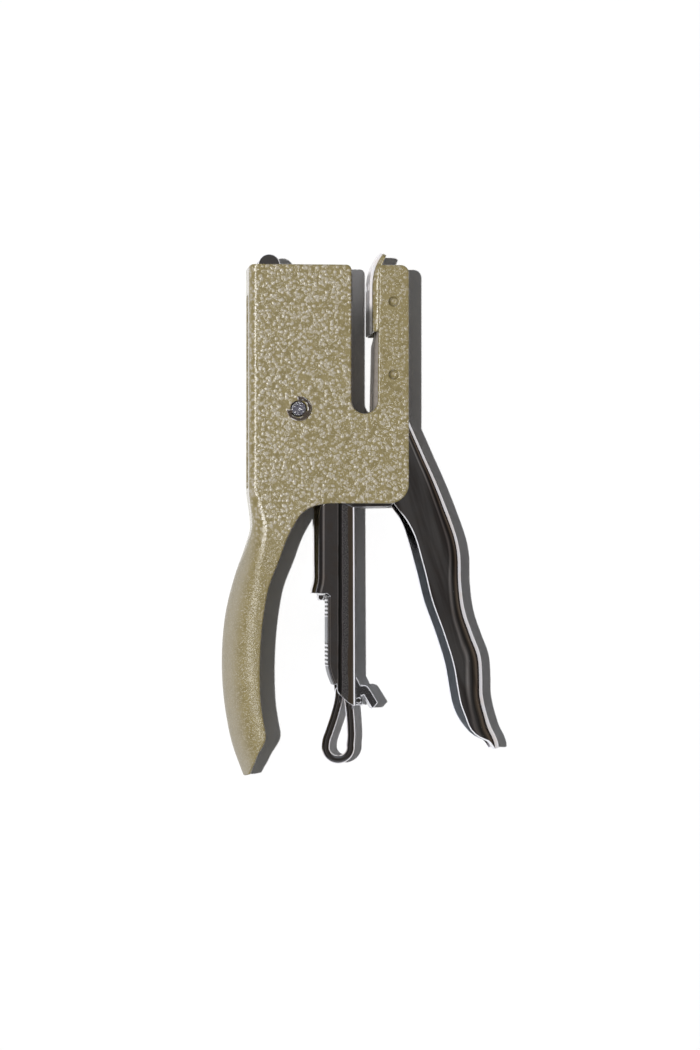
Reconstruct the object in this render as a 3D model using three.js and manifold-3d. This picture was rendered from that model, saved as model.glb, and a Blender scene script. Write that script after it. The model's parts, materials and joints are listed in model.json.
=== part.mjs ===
// Plier stapler: a folded sheet body with a fixed handle and an anvil arm, a squeezed lever and a
// swinging magazine. Millimetres. The tool lies flat on its far plate: +Z is its thickness, +Y runs
// towards the nose and +X towards the anvil. Everything is laid out from the pivot pin's axis.
import * as THREE from 'three';
import { mergeVertices } from 'three/addons/utils/BufferGeometryUtils.js';
import Module from 'manifold-3d';

const wasm = await Module();
wasm.setup();

// ---- driving dimensions ----
const GAP = 0.3;                 // clearance between neighbouring pieces

// thickness stack, from the far plate at z = 0
const BODY_T = 18;               // over both body plates
const MID_Z = BODY_T / 2;
const SHEET = 1.2;               // body, lever and carrier sheet
const LEVER_W = BODY_T - 2 * (SHEET + GAP);
const CASE_W = LEVER_W - 2 * (SHEET + GAP);
const CASE_SHEET = 0.8;

// body
const HEAD_TOP = 45.5;
const HEAD_LEFT = -15.56;
const HEAD_RIGHT = 16.7;
const ARM_LEFT = 25.4;
const ARM_RIGHT = 34.9;
const BODY_BOTTOM = -29.7;
const CORNER_R = 6.2;            // lower right corner of the plates
const THROAT_FLOOR = -1.4;
const SPINE_BEND = 2.4;          // outer bend radius of the head
const GRIP_BEND = { wide: 10.8, deep: 8.8 };   // handle's outer bend, across and down from the plates
const PANEL = { y0: -24.9, y1: 36.4, width: 9.5, depth: 0.4 };   // blank pressed panel on the spine

// pivot
const PIN_R = 2.2;
const PIN_HOLE_R = PIN_R + GAP;
const PIN_TOP = BODY_T + 1.8;
const CLIP = { z0: BODY_T + 0.3, t: 0.8, outer: 3.9, inner: 2.9, lug: 1.95 };
const GROOVE_R = 1.65;
const HUB_R = 7;

// staple line, driver and nose
const STAPLE_Y = 38.9;
const ARM_END = { x: -9.2, y: 45.3, r: 3.5 };
const DRIVER_PIN = { x: -8.6, r: 1.6 };
const NOSE_X = 17.2;
const ANVIL_X = 22.6;

// magazine
const CASE_TOP = 43.5;
const CASE_LEFT = 5.34;          // web of the wide part
const CASE_LOWER_LEFT = 9.4;     // web of the narrow part
const CASE_RIGHT = 17.8;
const CASE_STEP = -57.9;         // lower end of the wide part
const CASE_BEND = 3.4;           // outer bend radius of the wide part
const CASE_CORNER = [[9.4, -79.5], [9.75, -81.5], [10.7, -84], [11.6, -86.3]];   // end of the narrow web
const CASE_BOTTOM = -93.6;
const RAIL = { x0: 11.3, x1: 15.9, width: 8, sheet: 0.8 };
const ROD = { x: 14.6, r: 0.8 };

// anvil arm
const RIVET_X = 30;
const RIVET_YS = { anvil_rivet_upper: 33.9, anvil_rivet_lower: 10.9 };
const RIVET_R = 1.2;

const SEG = 20;                  // facets of a round hole or pin

// ---- finishes ----
const enamel = () => new THREE.MeshStandardMaterial({ color: 0x938762, roughness: 0.38, metalness: 0.1 });
const chrome = () => new THREE.MeshStandardMaterial({ color: 0x4a4645, roughness: 0.12, metalness: 1 });
const steel = () => new THREE.MeshStandardMaterial({ color: 0xa9a8a6, roughness: 0.3, metalness: 1 });
const zinc = () => new THREE.MeshStandardMaterial({ color: 0x8e8b88, roughness: 0.4, metalness: 1 });

// ---- solids ----
function toSolid(geometry) {
  const g = geometry.clone();
  g.deleteAttribute('normal');
  g.deleteAttribute('uv');
  const merged = mergeVertices(g, 1e-4);
  return new wasm.Manifold(new wasm.Mesh({
    numProp: 3,
    vertProperties: new Float32Array(merged.attributes.position.array),
    triVerts: new Uint32Array(merged.index.array),
  }));
}

function toGeometry(solid) {
  const mesh = solid.getMesh();
  const g = new THREE.BufferGeometry();
  g.setAttribute('position', new THREE.BufferAttribute(new Float32Array(mesh.vertProperties), 3));
  g.setIndex(new THREE.BufferAttribute(new Uint32Array(mesh.triVerts), 1));
  g.computeVertexNormals();
  return g;
}

// A flat shape from z0 to z1.
function slab(shape, z0, z1, curveSegments = 8) {
  const g = new THREE.ExtrudeGeometry(shape, { depth: z1 - z0, bevelEnabled: false, curveSegments });
  g.translate(0, 0, z0);
  return toSolid(g);
}

function block(x0, x1, y0, y1, z0, z1) {
  const g = new THREE.BoxGeometry(x1 - x0, y1 - y0, z1 - z0);
  g.translate((x0 + x1) / 2, (y0 + y1) / 2, (z0 + z1) / 2);
  return toSolid(g);
}

// A round bar along z.
function bar(x, y, r, z0, z1, r1 = r) {
  const g = new THREE.CylinderGeometry(r1, r, z1 - z0, SEG);
  g.rotateX(Math.PI / 2);
  g.translate(x, y, (z0 + z1) / 2);
  return toSolid(g);
}

// A round bar along y.
function barY(x, z, r, y0, y1) {
  const g = new THREE.CylinderGeometry(r, r, y1 - y0, 12);
  g.translate(x, (y0 + y1) / 2, z);
  return toSolid(g);
}

function polygon(points) {
  return new THREE.Shape(points.map(([x, y]) => new THREE.Vector2(x, y)));
}

// The two side sheets of a folded piece, as layers [z0, z1] across a width about mid thickness.
function sideLayers(width, sheet) {
  const far = MID_Z - width / 2;
  const near = MID_Z + width / 2;
  return [[far, far + sheet], [near - sheet, near]];
}

function bothSides(shape, width, sheet, curveSegments) {
  return sideLayers(width, sheet)
    .map(([z0, z1]) => slab(shape, z0, z1, curveSegments))
    .reduce((a, b) => a.add(b));
}

// A wire of round section along a curve.
function wire(curve, r, steps, sides = 8) {
  const section = new THREE.Shape();
  for (let i = 0; i < sides; i++) {
    const a = (2 * Math.PI * i) / sides;
    const p = [r * Math.cos(a), r * Math.sin(a)];
    if (i === 0) section.moveTo(...p);
    else section.lineTo(...p);
  }
  section.closePath();
  return toSolid(new THREE.ExtrudeGeometry(section, { extrudePath: curve, steps, bevelEnabled: false }));
}

// Cubic blend of a list of [y, value] stations, flat outside them.
function along(stations) {
  const curve = new THREE.SplineCurve(stations.map(([y, v]) => new THREE.Vector2(y, v)));
  const samples = curve.getPoints(160);
  return (y) => {
    const k = samples.findIndex((p) => p.x >= y);
    if (k <= 0) return samples[k === 0 ? 0 : samples.length - 1].y;
    const [a, b] = [samples[k - 1], samples[k]];
    return a.y + ((b.y - a.y) * (y - a.x)) / (b.x - a.x);
  };
}

// A folded channel that runs along y. At each station the web's outer face is at web(y), the bends
// are bend(y) across and deep(y) down from the plates, and the open side faces sign * x.
function channel({ ys, web, bend, deep = bend, sign, width, sheet, reach }) {
  const [z0, z1] = [MID_Z - width / 2, MID_Z + width / 2];
  const arcSteps = 4;
  const ring = (y) => {
    const w = web(y);
    const [rx, rz] = [bend(y), deep(y)];
    const [ix, iz] = [rx, rz].map((r) => Math.max(r - sheet, 0.3));
    const outer = [[reach, z0]];
    const inner = [[reach, z0 + sheet]];
    for (const [zc, turn] of [[z0, 1], [z1, -1]]) {
      for (let i = 0; i <= arcSteps; i++) {
        const a = ((turn > 0 ? i : arcSteps - i) / arcSteps) * (Math.PI / 2);
        outer.push([w + sign * (rx - rx * Math.sin(a)), zc + turn * (rz - rz * Math.cos(a))]);
        inner.push([
          w + sign * (sheet + ix - ix * Math.sin(a)),
          zc + turn * (sheet + iz - iz * Math.cos(a)),
        ]);
      }
    }
    outer.push([reach, z1]);
    inner.push([reach, z1 - sheet]);
    return [...outer, ...inner.reverse()];
  };
  const rings = ys.map(ring);
  const n = rings[0].length;
  const positions = rings.flatMap((r, k) => r.flatMap(([x, z]) => [x, ys[k], z]));
  const index = [];
  for (let k = 0; k + 1 < rings.length; k++) {
    for (let i = 0; i < n; i++) {
      const j = (i + 1) % n;
      const [a, b, c, d] = [k * n + i, k * n + j, (k + 1) * n + i, (k + 1) * n + j];
      index.push(a, b, c, b, d, c);
    }
  }
  const half = n / 2;
  for (let i = 0; i + 1 < half; i++) {
    const [a, b, c, d] = [i, i + 1, n - 1 - i, n - 2 - i];
    const top = (rings.length - 1) * n;
    index.push(a, c, b, b, c, d);
    index.push(top + a, top + b, top + c, top + b, top + d, top + c);
  }
  const g = new THREE.BufferGeometry();
  g.setAttribute('position', new THREE.BufferAttribute(new Float32Array(positions), 3));
  g.setIndex(index);
  const solid = toSolid(g);
  return solid.volume() > 0 ? solid : toSolid(flipped(g));
}

function flipped(geometry) {
  const g = geometry.clone();
  const index = g.index.array;
  for (let i = 0; i < index.length; i += 3) [index[i], index[i + 1]] = [index[i + 1], index[i]];
  return g;
}

function stations(from, to, count) {
  return Array.from({ length: count + 1 }, (_, i) => from + ((to - from) * i) / count);
}

// ---- body ----
// Outer face of the spine and handle, as x against y.
const SPINE = [[-116, -16.3], [-112.2, -17.9], [-106.3, -20.0], [-96.3, -22.2], [-88.4, -23.2],
  [-75.2, -23.5], [-63.6, -22.3], [-51.9, -19.3], [-42.5, -15.9], [-37.4, -14.4], [-32, -14.7],
  [-26, -15.5], [-20, HEAD_LEFT]];
const SPINE_WIDE = [[-116, GRIP_BEND.wide], [-66, GRIP_BEND.wide - 0.5], [-53.8, 8.6], [-47.5, 6.6],
  [-36, 4.2], [-30, 3.4], [-24, SPINE_BEND], [-20, SPINE_BEND]];
const SPINE_DEEP = [[-116, GRIP_BEND.deep], [-60, GRIP_BEND.deep - 0.3], [-48, 7], [-36, 4.5],
  [-24, SPINE_BEND], [-20, SPINE_BEND]];
// Free edge of the handle's side plates, from the body's bottom edge down to the tip.
const GRIP_EDGE = [[9.6, BODY_BOTTOM], [4.4, -31.0], [1.1, -32.8], [-1.4, -36.6], [-3.3, -40.2],
  [-6.0, -47.5], [-9.2, -55.8], [-10.9, -64.7], [-11.9, -75.2], [-12.1, -83.9], [-11.6, -94.1],
  [-10.7, -99.7], [-10.2, -103.7], [-11.2, -106.0], [-12.8, -108.5], [-13.9, -111.4], [-15.1, -114.0]];

function bodyOutline() {
  const s = new THREE.Shape();
  const throatR = (ARM_LEFT - HEAD_RIGHT) / 2;
  const throatX = (ARM_LEFT + HEAD_RIGHT) / 2;
  s.moveTo(HEAD_LEFT - 1, HEAD_TOP);
  s.lineTo(HEAD_RIGHT - 1.6, HEAD_TOP);
  s.absarc(HEAD_RIGHT - 1.6, HEAD_TOP - 1.6, 1.6, Math.PI / 2, 0, true);
  s.absarc(throatX, THROAT_FLOOR + throatR, throatR, Math.PI, 2 * Math.PI, false);
  s.lineTo(ARM_LEFT + 0.3, HEAD_TOP);
  s.absarc(ARM_RIGHT - 3.1, HEAD_TOP - 2.6, 2.6, Math.PI / 2, 0, true);
  s.lineTo(ARM_RIGHT, 21);
  s.absarc(ARM_RIGHT - CORNER_R, BODY_BOTTOM + CORNER_R, CORNER_R, 0, -Math.PI / 2, true);
  s.lineTo(...GRIP_EDGE[0]);
  s.splineThru(GRIP_EDGE.slice(1).map(([x, y]) => new THREE.Vector2(x, y)));
  s.quadraticCurveTo(-15.7, -116.0, -17.0, -115.1);
  s.lineTo(-27, -106);
  s.lineTo(-27, -50);
  s.lineTo(HEAD_LEFT - 1, -42);
  s.closePath();
  return s;
}

function bodyShell() {
  const ys = [...stations(-116, -20, 18), HEAD_TOP];
  const fold = channel({
    ys, web: along(SPINE), bend: along(SPINE_WIDE), deep: along(SPINE_DEEP), sign: 1,
    width: BODY_T, sheet: SHEET, reach: 40,
  });
  const panel = block(HEAD_LEFT - 1, HEAD_LEFT + PANEL.depth, PANEL.y0, PANEL.y1,
    MID_Z - PANEL.width / 2, MID_Z + PANEL.width / 2);
  let shell = fold.intersect(slab(bodyOutline(), -1, BODY_T + 1, 5)).subtract(panel);
  shell = shell.subtract(bar(0, 0, PIN_HOLE_R, SHEET - 1, BODY_T + 1));
  shell = shell.subtract(bar(0, 0, PIN_R + SHEET + GAP, -0.001, SHEET, PIN_HOLE_R));
  for (const y of Object.values(RIVET_YS)) {
    shell = shell.subtract(bar(RIVET_X, y, RIVET_R + GAP, -1, BODY_T + 1));
  }
  return shell;
}

// ---- pivot ----
// Turned pin: flush countersunk far head, groove for the clip, peened near end.
function pivotPin() {
  const profile = [[0, 0], [PIN_R + 0.9, 0], [PIN_R, 0.9], [PIN_R, CLIP.z0 - 0.05],
    [GROOVE_R, CLIP.z0 - 0.05], [GROOVE_R, CLIP.z0 + CLIP.t + 0.1], [PIN_R, CLIP.z0 + CLIP.t + 0.1],
    [PIN_R, PIN_TOP - 0.4],
    [PIN_R - 0.5, PIN_TOP - 0.08], [0, PIN_TOP]];
  const g = new THREE.LatheGeometry(profile.map(([r, y]) => new THREE.Vector2(r, y)), SEG);
  g.rotateX(Math.PI / 2);
  return toSolid(g);
}

// E-shaped clip, open towards the upper left, with three lugs that reach into the groove.
function retainingClip() {
  const deg = Math.PI / 180;
  const s = new THREE.Shape();
  const [start, end] = [-173, 97];
  s.absarc(0, 0, CLIP.outer, start * deg, end * deg, false);
  const inner = [[end, 72, CLIP.lug], [72, -20, CLIP.inner], [-20, -60, CLIP.lug], [-60, -148, CLIP.inner],
    [-148, start, CLIP.lug]];
  for (const [a, b, r] of inner) s.absarc(0, 0, r, a * deg, b * deg, true);
  s.closePath();
  return slab(s, CLIP.z0, CLIP.z0 + CLIP.t, 10);
}

function pivotBush() {
  const z = [4.5, BODY_T - 4.5];
  return bar(0, 0, 3.4, z[0], z[1]).subtract(bar(0, 0, PIN_HOLE_R, z[0] - 1, z[1] + 1));
}

// Torsion spring around the bush: three turns and two short legs.
function returnSpring() {
  const [r, turns, z0, z1] = [4.3, 3, 6.4, 11.6];
  const points = [];
  const steps = 12 * turns;
  points.push(new THREE.Vector3(-6.5, -r, z0));
  for (let i = 0; i <= steps; i++) {
    const a = -Math.PI / 2 - (2 * Math.PI * turns * i) / steps;
    points.push(new THREE.Vector3(r * Math.cos(a), r * Math.sin(a), z0 + ((z1 - z0) * i) / steps));
  }
  points.push(new THREE.Vector3(-5.5, -r - 1.2, z1));
  return wire(new THREE.CatmullRomCurve3(points), 0.5, 50, 5);
}

// ---- lever ----
// Outer (right) face of the lever's web, as x against y.
const LEVER_BACK = [[-108, 63.2], [-106, 64.2], [-103.2, 63.1], [-99.7, 61.3], [-94.1, 59.4],
  [-90, 58.6], [-84.8, 58.5], [-77.1, 57.8], [-71, 55.5], [-63.3, 52.9], [-54.8, 51.7], [-44.7, 51.2],
  [-34.8, 48.6], [-24.9, 44.8], [-14.5, 40.1], [-2.75, 34.95], [0, 33.9]];
const LEVER_WIDE = [[-108, 6.4], [-96, 7], [-85, 7.3], [-70, 6.4], [-55, 5.5], [-35, 4.4], [-18, 3.4],
  [0, 3]];
const LEVER_DEEP = [[-108, 4.8], [-85, 4.8], [-55, 4.5], [-35, 3.7], [-18, 2.9], [0, 2.6]];
// Free edge of the lever's side plates, from the body down to the tip.
const LEVER_EDGE = [[30.1, -29.4], [34.0, -34.9], [39.0, -49.4], [41.7, -60.1], [45.6, -71],
  [48.6, -80.9], [49.9, -88.4], [50.7, -92.5], [52.4, -97.1], [54.4, -100.7], [56.5, -102.8],
  [58.6, -103.9], [61.4, -104.9]];

function leverHandle() {
  const s = new THREE.Shape();
  s.moveTo(30.1, -3.2);
  s.lineTo(70, -3.2);
  s.lineTo(70, -104);
  s.lineTo(64.2, -106.8);
  s.quadraticCurveTo(64, -108, 62.6, -107.2);
  s.lineTo(...LEVER_EDGE.at(-1));
  s.splineThru(LEVER_EDGE.slice(0, -1).reverse().map(([x, y]) => new THREE.Vector2(x, y)));
  s.closePath();
  const fold = channel({
    ys: stations(-108, 0, 22), web: along(LEVER_BACK), bend: along(LEVER_WIDE),
    deep: along(LEVER_DEEP), sign: -1, width: LEVER_W, sheet: SHEET, reach: 20,
  });
  return fold.intersect(slab(s, 0, BODY_T, 5));
}

// Bell crank in the plane of the side plates: hub, upper arm with a round end, and the belly that
// runs into the handle. It stays below the throat.
function crankOutline() {
  const { x, y, r } = ARM_END;
  const tilt = Math.atan2(-x, y);
  const s = new THREE.Shape();
  s.absarc(x, y, r, tilt + Math.PI, tilt, true);
  s.lineTo(-0.5, 24);
  s.lineTo(HUB_R - 1.2, 3.5);
  s.quadraticCurveTo(9, THROAT_FLOOR - 1.6, 15, THROAT_FLOOR - 1.7);
  s.lineTo(32.8, THROAT_FLOOR - 1.8);
  s.lineTo(40, -20);
  s.lineTo(40, -33);
  s.lineTo(32, -33);
  s.lineTo(30.1, -30.6);
  s.lineTo(17, -30.9);
  s.quadraticCurveTo(2, -22, -3.2, -6.4);
  s.absarc(0, 0, HUB_R, Math.PI * 1.35, Math.PI * 0.98, true);
  s.closePath();
  return s;
}

function lever() {
  let part = bothSides(crankOutline(), LEVER_W, SHEET, 6);
  const back = along(LEVER_BACK);
  const bend = along(LEVER_WIDE);
  const belly = stations(-3, -34, 6).map((y) => [back(y) - bend(y), y]);
  const keep = polygon([[-20, 52], [33.6, 52], [33.6, -3], ...belly, [-20, -34]]);
  part = part.intersect(slab(keep, 0, BODY_T)).add(leverHandle());
  part = part.subtract(bar(0, 0, PIN_HOLE_R, 0, BODY_T));
  return part.subtract(bar(DRIVER_PIN.x, STAPLE_Y, DRIVER_PIN.r + GAP, 0, BODY_T));
}

function driverPin() {
  return bar(DRIVER_PIN.x, STAPLE_Y, DRIVER_PIN.r, SHEET + GAP + 0.1, BODY_T - SHEET - GAP - 0.1);
}

// ---- anvil arm ----
// Enamelled fold on the throat side of the arm: a web that rises into a curved tongue, two sides.
function anvilCarrier() {
  const web = new THREE.Shape();
  web.moveTo(23.6, 24);
  web.lineTo(23.6, 40.5);
  web.quadraticCurveTo(24.1, 45.4, 26.7, 49.1);
  web.lineTo(27.6, 48.3);
  web.quadraticCurveTo(25.4, 45, 24.8, 40.5);
  web.lineTo(24.8, 23.4);
  web.closePath();
  const side = new THREE.Shape();
  side.moveTo(23.6, 23.2);
  side.lineTo(25, 25.4);
  side.lineTo(33.5, 25.4);
  side.lineTo(33.5, 42);
  side.lineTo(26.8, 44.4);
  side.lineTo(24.2, 44.4);
  side.quadraticCurveTo(23.7, 42.4, 23.6, 40.5);
  side.closePath();
  const [z0, z1] = [MID_Z - LEVER_W / 2, MID_Z + LEVER_W / 2];
  const part = slab(web, z0 + 0.01, z1 - 0.01, 8).add(bothSides(side, LEVER_W, SHEET, 8));
  return part.subtract(bar(RIVET_X, RIVET_YS.anvil_rivet_upper, RIVET_R + GAP, 0, BODY_T));
}

// Bright strike plate: follows the carrier's web up to the curved tongue, two clinch pockets.
const POCKET = { offset: 3.6, half: 1.1, reach: 1.9, depth: 0.35 };

function anvilPlate() {
  const s = new THREE.Shape();
  s.moveTo(ANVIL_X, 24);
  s.lineTo(ANVIL_X, 39.5);
  s.quadraticCurveTo(22.9, 45.2, 25.9, 49.4);
  s.lineTo(26.4, 49.05);
  s.quadraticCurveTo(23.6, 45, ANVIL_X + 0.7, 39.5);
  s.lineTo(ANVIL_X + 0.7, 23.4);
  s.quadraticCurveTo(22.7, 23.2, ANVIL_X, 24);
  s.closePath();
  let plate = slab(s, 2.3, BODY_T - 2.3, 8);
  for (const z of [MID_Z - POCKET.offset, MID_Z + POCKET.offset]) {
    plate = plate.subtract(block(ANVIL_X - 1, ANVIL_X + POCKET.depth, STAPLE_Y - POCKET.half,
      STAPLE_Y + POCKET.half, z - POCKET.reach, z + POCKET.reach));
  }
  return plate;
}

// Steel channel between the arm's plates: narrow beside the carrier, and joggled out to the plates
// below it, where its web is the lower wall of the throat.
const CHANNEL = {
  top: 40, joggle: 20.4, overlap: 1.5, bottom: -2.4, x: 24.2, step: 0.9, right: 33.4, lean: 0.5, sheet: 1,
};

function armChannel() {
  const { top, joggle, overlap, bottom, x, step: offset, right, lean, sheet } = CHANNEL;
  const upperX = x + offset;
  const width = LEVER_W - 0.2;
  const [z0, z1] = [MID_Z - CASE_W / 2, MID_Z + CASE_W / 2];
  const [w0, w1] = [MID_Z - width / 2, MID_Z + width / 2];
  const upper = polygon([[upperX, top], [right, top], [right, joggle - overlap],
    [upperX, joggle - overlap]]);
  const lower = polygon([[x, joggle], [right, joggle], [right, 0], [27, -1], [x + 0.7, bottom],
    [x - lean, bottom]]);
  const lowerWeb = polygon([[x, joggle], [upperX + sheet, joggle], [x + sheet - lean, bottom],
    [x - lean, bottom]]);
  const step = polygon([[upperX, joggle], [right, joggle], [right, joggle - overlap],
    [upperX, joggle - overlap]]);
  let part = bothSides(upper, CASE_W, SHEET)
    .add(block(upperX, upperX + sheet, joggle - overlap, top, z0 + 0.01, z1 - 0.01))
    .add(bothSides(lower, width, SHEET))
    .add(slab(lowerWeb, w0 + 0.01, w1 - 0.01))
    .add(bothSides(step, width, (width - CASE_W) / 2 + SHEET));
  for (const y of Object.values(RIVET_YS)) {
    part = part.subtract(bar(RIVET_X, y, RIVET_R + GAP, 0, BODY_T));
  }
  return part;
}

function anvilRivet(y) {
  const shank = bar(RIVET_X, y, RIVET_R, 0.1, BODY_T - 0.15);
  return shank.add(bar(RIVET_X, y, RIVET_R, BODY_T - 0.2, BODY_T + 0.1, RIVET_R - 0.4));
}

// ---- magazine ----
function caseSideOutline() {
  const s = new THREE.Shape();
  s.moveTo(2, CASE_TOP);
  s.lineTo(HEAD_RIGHT - GAP, CASE_TOP);
  s.lineTo(HEAD_RIGHT - GAP, -3);
  s.lineTo(CASE_RIGHT - 0.1, -7);
  s.lineTo(CASE_RIGHT + 0.3, CASE_BOTTOM);
  const corner = [[15.7, -92.1], [13.1, -89.4], ...CASE_CORNER.toReversed()];
  s.splineThru(corner.map(([x, y]) => new THREE.Vector2(x, y)));
  s.lineTo(CASE_LOWER_LEFT, CASE_STEP);
  s.lineTo(CASE_LEFT + 1, CASE_STEP);
  s.lineTo(CASE_LEFT + 1, -9);
  s.quadraticCurveTo(4, -4.5, 0, -4.6);
  s.absarc(0, 0, 4.6, -Math.PI / 2, -1.5 * Math.PI, true);
  s.quadraticCurveTo(5.4, 4.6, CASE_LEFT + 1, 9);
  s.lineTo(CASE_LEFT + 1, 34.5);
  s.lineTo(2, 34.5);
  s.closePath();
  return s;
}

function magazineCase() {
  const sides = bothSides(caseSideOutline(), CASE_W, CASE_SHEET, 6);
  const [z0, z1] = [MID_Z - CASE_W / 2, MID_Z + CASE_W / 2];
  // web of the wide part: round bends, cleared around the spring, flared at its lower end
  const flare = along([[CASE_STEP, CASE_LEFT - 0.8], [CASE_STEP + 1.5, CASE_LEFT - 0.6],
    [CASE_STEP + 7, CASE_LEFT], [0, CASE_LEFT], [34, CASE_LEFT]]);
  const wide = channel({
    ys: [CASE_STEP, CASE_STEP + 1.5, CASE_STEP + 3.5, CASE_STEP + 7, 34], web: flare,
    bend: () => CASE_BEND, sign: 1, width: CASE_W, sheet: CASE_SHEET, reach: 10,
  });
  const clearance = block(0, CASE_LEFT + 1, -8.6, 8.6, z0 + CASE_SHEET, z1 - CASE_SHEET);
  // web of the narrow part: sharp bends, following the curved lower corner
  const lower = polygon([[CASE_LOWER_LEFT, CASE_STEP + 2], [CASE_LOWER_LEFT + CASE_SHEET, CASE_STEP + 2],
    ...CASE_CORNER.map(([x, y]) => [x + CASE_SHEET, y]),
    ...CASE_CORNER.toReversed().map(([x, y]) => [x + 0.02, y])]);
  const part = sides.add(wide).add(slab(lower, z0 + 0.01, z1 - 0.01)).subtract(clearance);
  return part.subtract(bar(0, 0, PIN_HOLE_R, 0, BODY_T));
}

// Small tongue that closes the wide part's lower end.
function caseStop() {
  const s = new THREE.Shape();
  s.moveTo(6.6, CASE_STEP - 0.4);
  s.lineTo(8.9, CASE_STEP - 0.4);
  s.lineTo(8.9, CASE_STEP - 1.4);
  s.absarc(7.7, CASE_STEP - 1.7, 0.7, 0, -Math.PI, true);
  s.closePath();
  return slab(s, MID_Z - 2.5, MID_Z + 2.5, 6);
}

function nosePlate() {
  const width = CASE_W - 0.4;
  const [z0, z1] = [MID_Z - width / 2, MID_Z + width / 2];
  const s = polygon([[HEAD_RIGHT, 34.2], [NOSE_X, 34.2], [NOSE_X, 42.6], [HEAD_RIGHT, 43.4]]);
  const mouth = block(HEAD_RIGHT - 1, NOSE_X + 1, STAPLE_Y - 0.65, STAPLE_Y + 0.65, MID_Z - 5, MID_Z + 5);
  return slab(s, z0, z1).subtract(mouth);
}

// Rail inside the staple legs: a channel that is open towards +x.
function coreRail() {
  const [z0, z1] = [MID_Z - RAIL.width / 2, MID_Z + RAIL.width / 2];
  const [y0, y1] = [-80, STAPLE_Y - 0.8];
  const inner = block(RAIL.x0 + RAIL.sheet, RAIL.x1 + 1, y0 - 1, y1 + 1, z0 + RAIL.sheet, z1 - RAIL.sheet);
  return block(RAIL.x0, RAIL.x1, y0, y1, z0, z1).subtract(inner);
}

// ---- driver ----
const DRIVER = { x0: -11.2, x1: 3.4, y0: STAPLE_Y - 3, y1: STAPLE_Y + 3, tip: 10, blade: 0.7 };

function driverCarrier() {
  const [z0, z1] = [MID_Z - CASE_W / 2 + CASE_SHEET + GAP, MID_Z + CASE_W / 2 - CASE_SHEET - GAP];
  const notchR = DRIVER_PIN.r + GAP;
  const body = block(DRIVER.x0, DRIVER.x1, DRIVER.y0, DRIVER.y1, z0, z1);
  const notch = block(DRIVER_PIN.x - notchR, DRIVER_PIN.x + notchR, STAPLE_Y - notchR, DRIVER.y1 + 1,
    z0 - 1, z1 + 1);
  const slit = block(DRIVER.x1 - 3, DRIVER.x1 + 1, STAPLE_Y - 0.65, STAPLE_Y + 0.65, z0 - 1, z1 + 1);
  return body.subtract(notch).subtract(slit);
}

function driverBlade() {
  return block(DRIVER.x1 - 2.7, DRIVER.tip, STAPLE_Y - DRIVER.blade / 2, STAPLE_Y + DRIVER.blade / 2,
    MID_Z - 4.7, MID_Z + 4.7);
}

// ---- loader ----
const SPRING = { y0: -81, y1: -34, r: 1.75, wire: 0.35, turns: 8 };
const PUSHER = { y0: -33, y1: -22 };

function endPlug() {
  const s = new THREE.Shape();
  s.moveTo(11.7, -81.6);
  s.lineTo(17, -81.6);
  s.lineTo(17, -88.2);
  s.lineTo(14.4, -88.2);
  s.quadraticCurveTo(13.2, -87.4, 11.7, -82.6);
  s.closePath();
  const [z0, z1] = [MID_Z - CASE_W / 2 + CASE_SHEET + GAP, MID_Z + CASE_W / 2 - CASE_SHEET - GAP];
  return slab(s, z0, z1, 6).subtract(barY(ROD.x, MID_Z, ROD.r + GAP, -86, -80));
}

function loaderRod() {
  return barY(ROD.x, MID_Z, ROD.r, -85.6, 32);
}

// Teardrop wire loop; its two legs meet under the plug.
const LOOP = { x: 13.18, y: -106.5, r: 3.99, wire: 1.32 };

function pullLoop() {
  const points = [[13.45, -88.7], [13.4, -91], [12.2, -96.1], [10.5, -101.3], [9.4, -104.6]];
  const bow = stations(172, 368, 9).map((d) => {
    const a = (d * Math.PI) / 180;
    return [LOOP.x + LOOP.r * Math.cos(a), LOOP.y + LOOP.r * Math.sin(a)];
  });
  points.push(...bow, [17.35, -103], [17.25, -100], [16.9, -95], [16.4, -91.3], [16.3, -88.7]);
  const path = points.map(([x, y]) => new THREE.Vector3(x, y, MID_Z));
  return wire(new THREE.CatmullRomCurve3(path, false, 'centripetal'), LOOP.wire, 38, 8);
}

function pusherSpring() {
  const { y0, y1, r, turns } = SPRING;
  const points = stations(0, turns, turns * 10).map((t) => {
    const a = 2 * Math.PI * t;
    const y = y0 + ((y1 - y0) * t) / turns;
    return new THREE.Vector3(ROD.x + r * Math.cos(a), y, MID_Z + r * Math.sin(a));
  });
  return wire(new THREE.CatmullRomCurve3(points), SPRING.wire, turns * 12, 4);
}

// Saddle around the rail, joined through the rail's open side to a block on the rod.
function pusher() {
  const [y0, y1] = [PUSHER.y0, PUSHER.y1];
  const half = 4.95;
  const railHalf = RAIL.width / 2;
  const bodyBlock = block(10.45, 16.6, y0, y1, MID_Z - half, MID_Z + half);
  const webSlot = block(RAIL.x0 - GAP, RAIL.x0 + RAIL.sheet + GAP, y0 - 1, y1 + 1, MID_Z - railHalf - GAP,
    MID_Z + railHalf + GAP);
  let part = bodyBlock.subtract(webSlot);
  for (const side of [-1, 1]) {
    const za = MID_Z + side * (railHalf - RAIL.sheet - GAP);
    const zb = MID_Z + side * (railHalf + GAP);
    part = part.subtract(block(RAIL.x0, RAIL.x1 + GAP, y0 - 1, y1 + 1, Math.min(za, zb), Math.max(za, zb)));
  }
  return part.subtract(barY(ROD.x, MID_Z, ROD.r + GAP, y0 - 1, y1 + 1));
}

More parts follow.
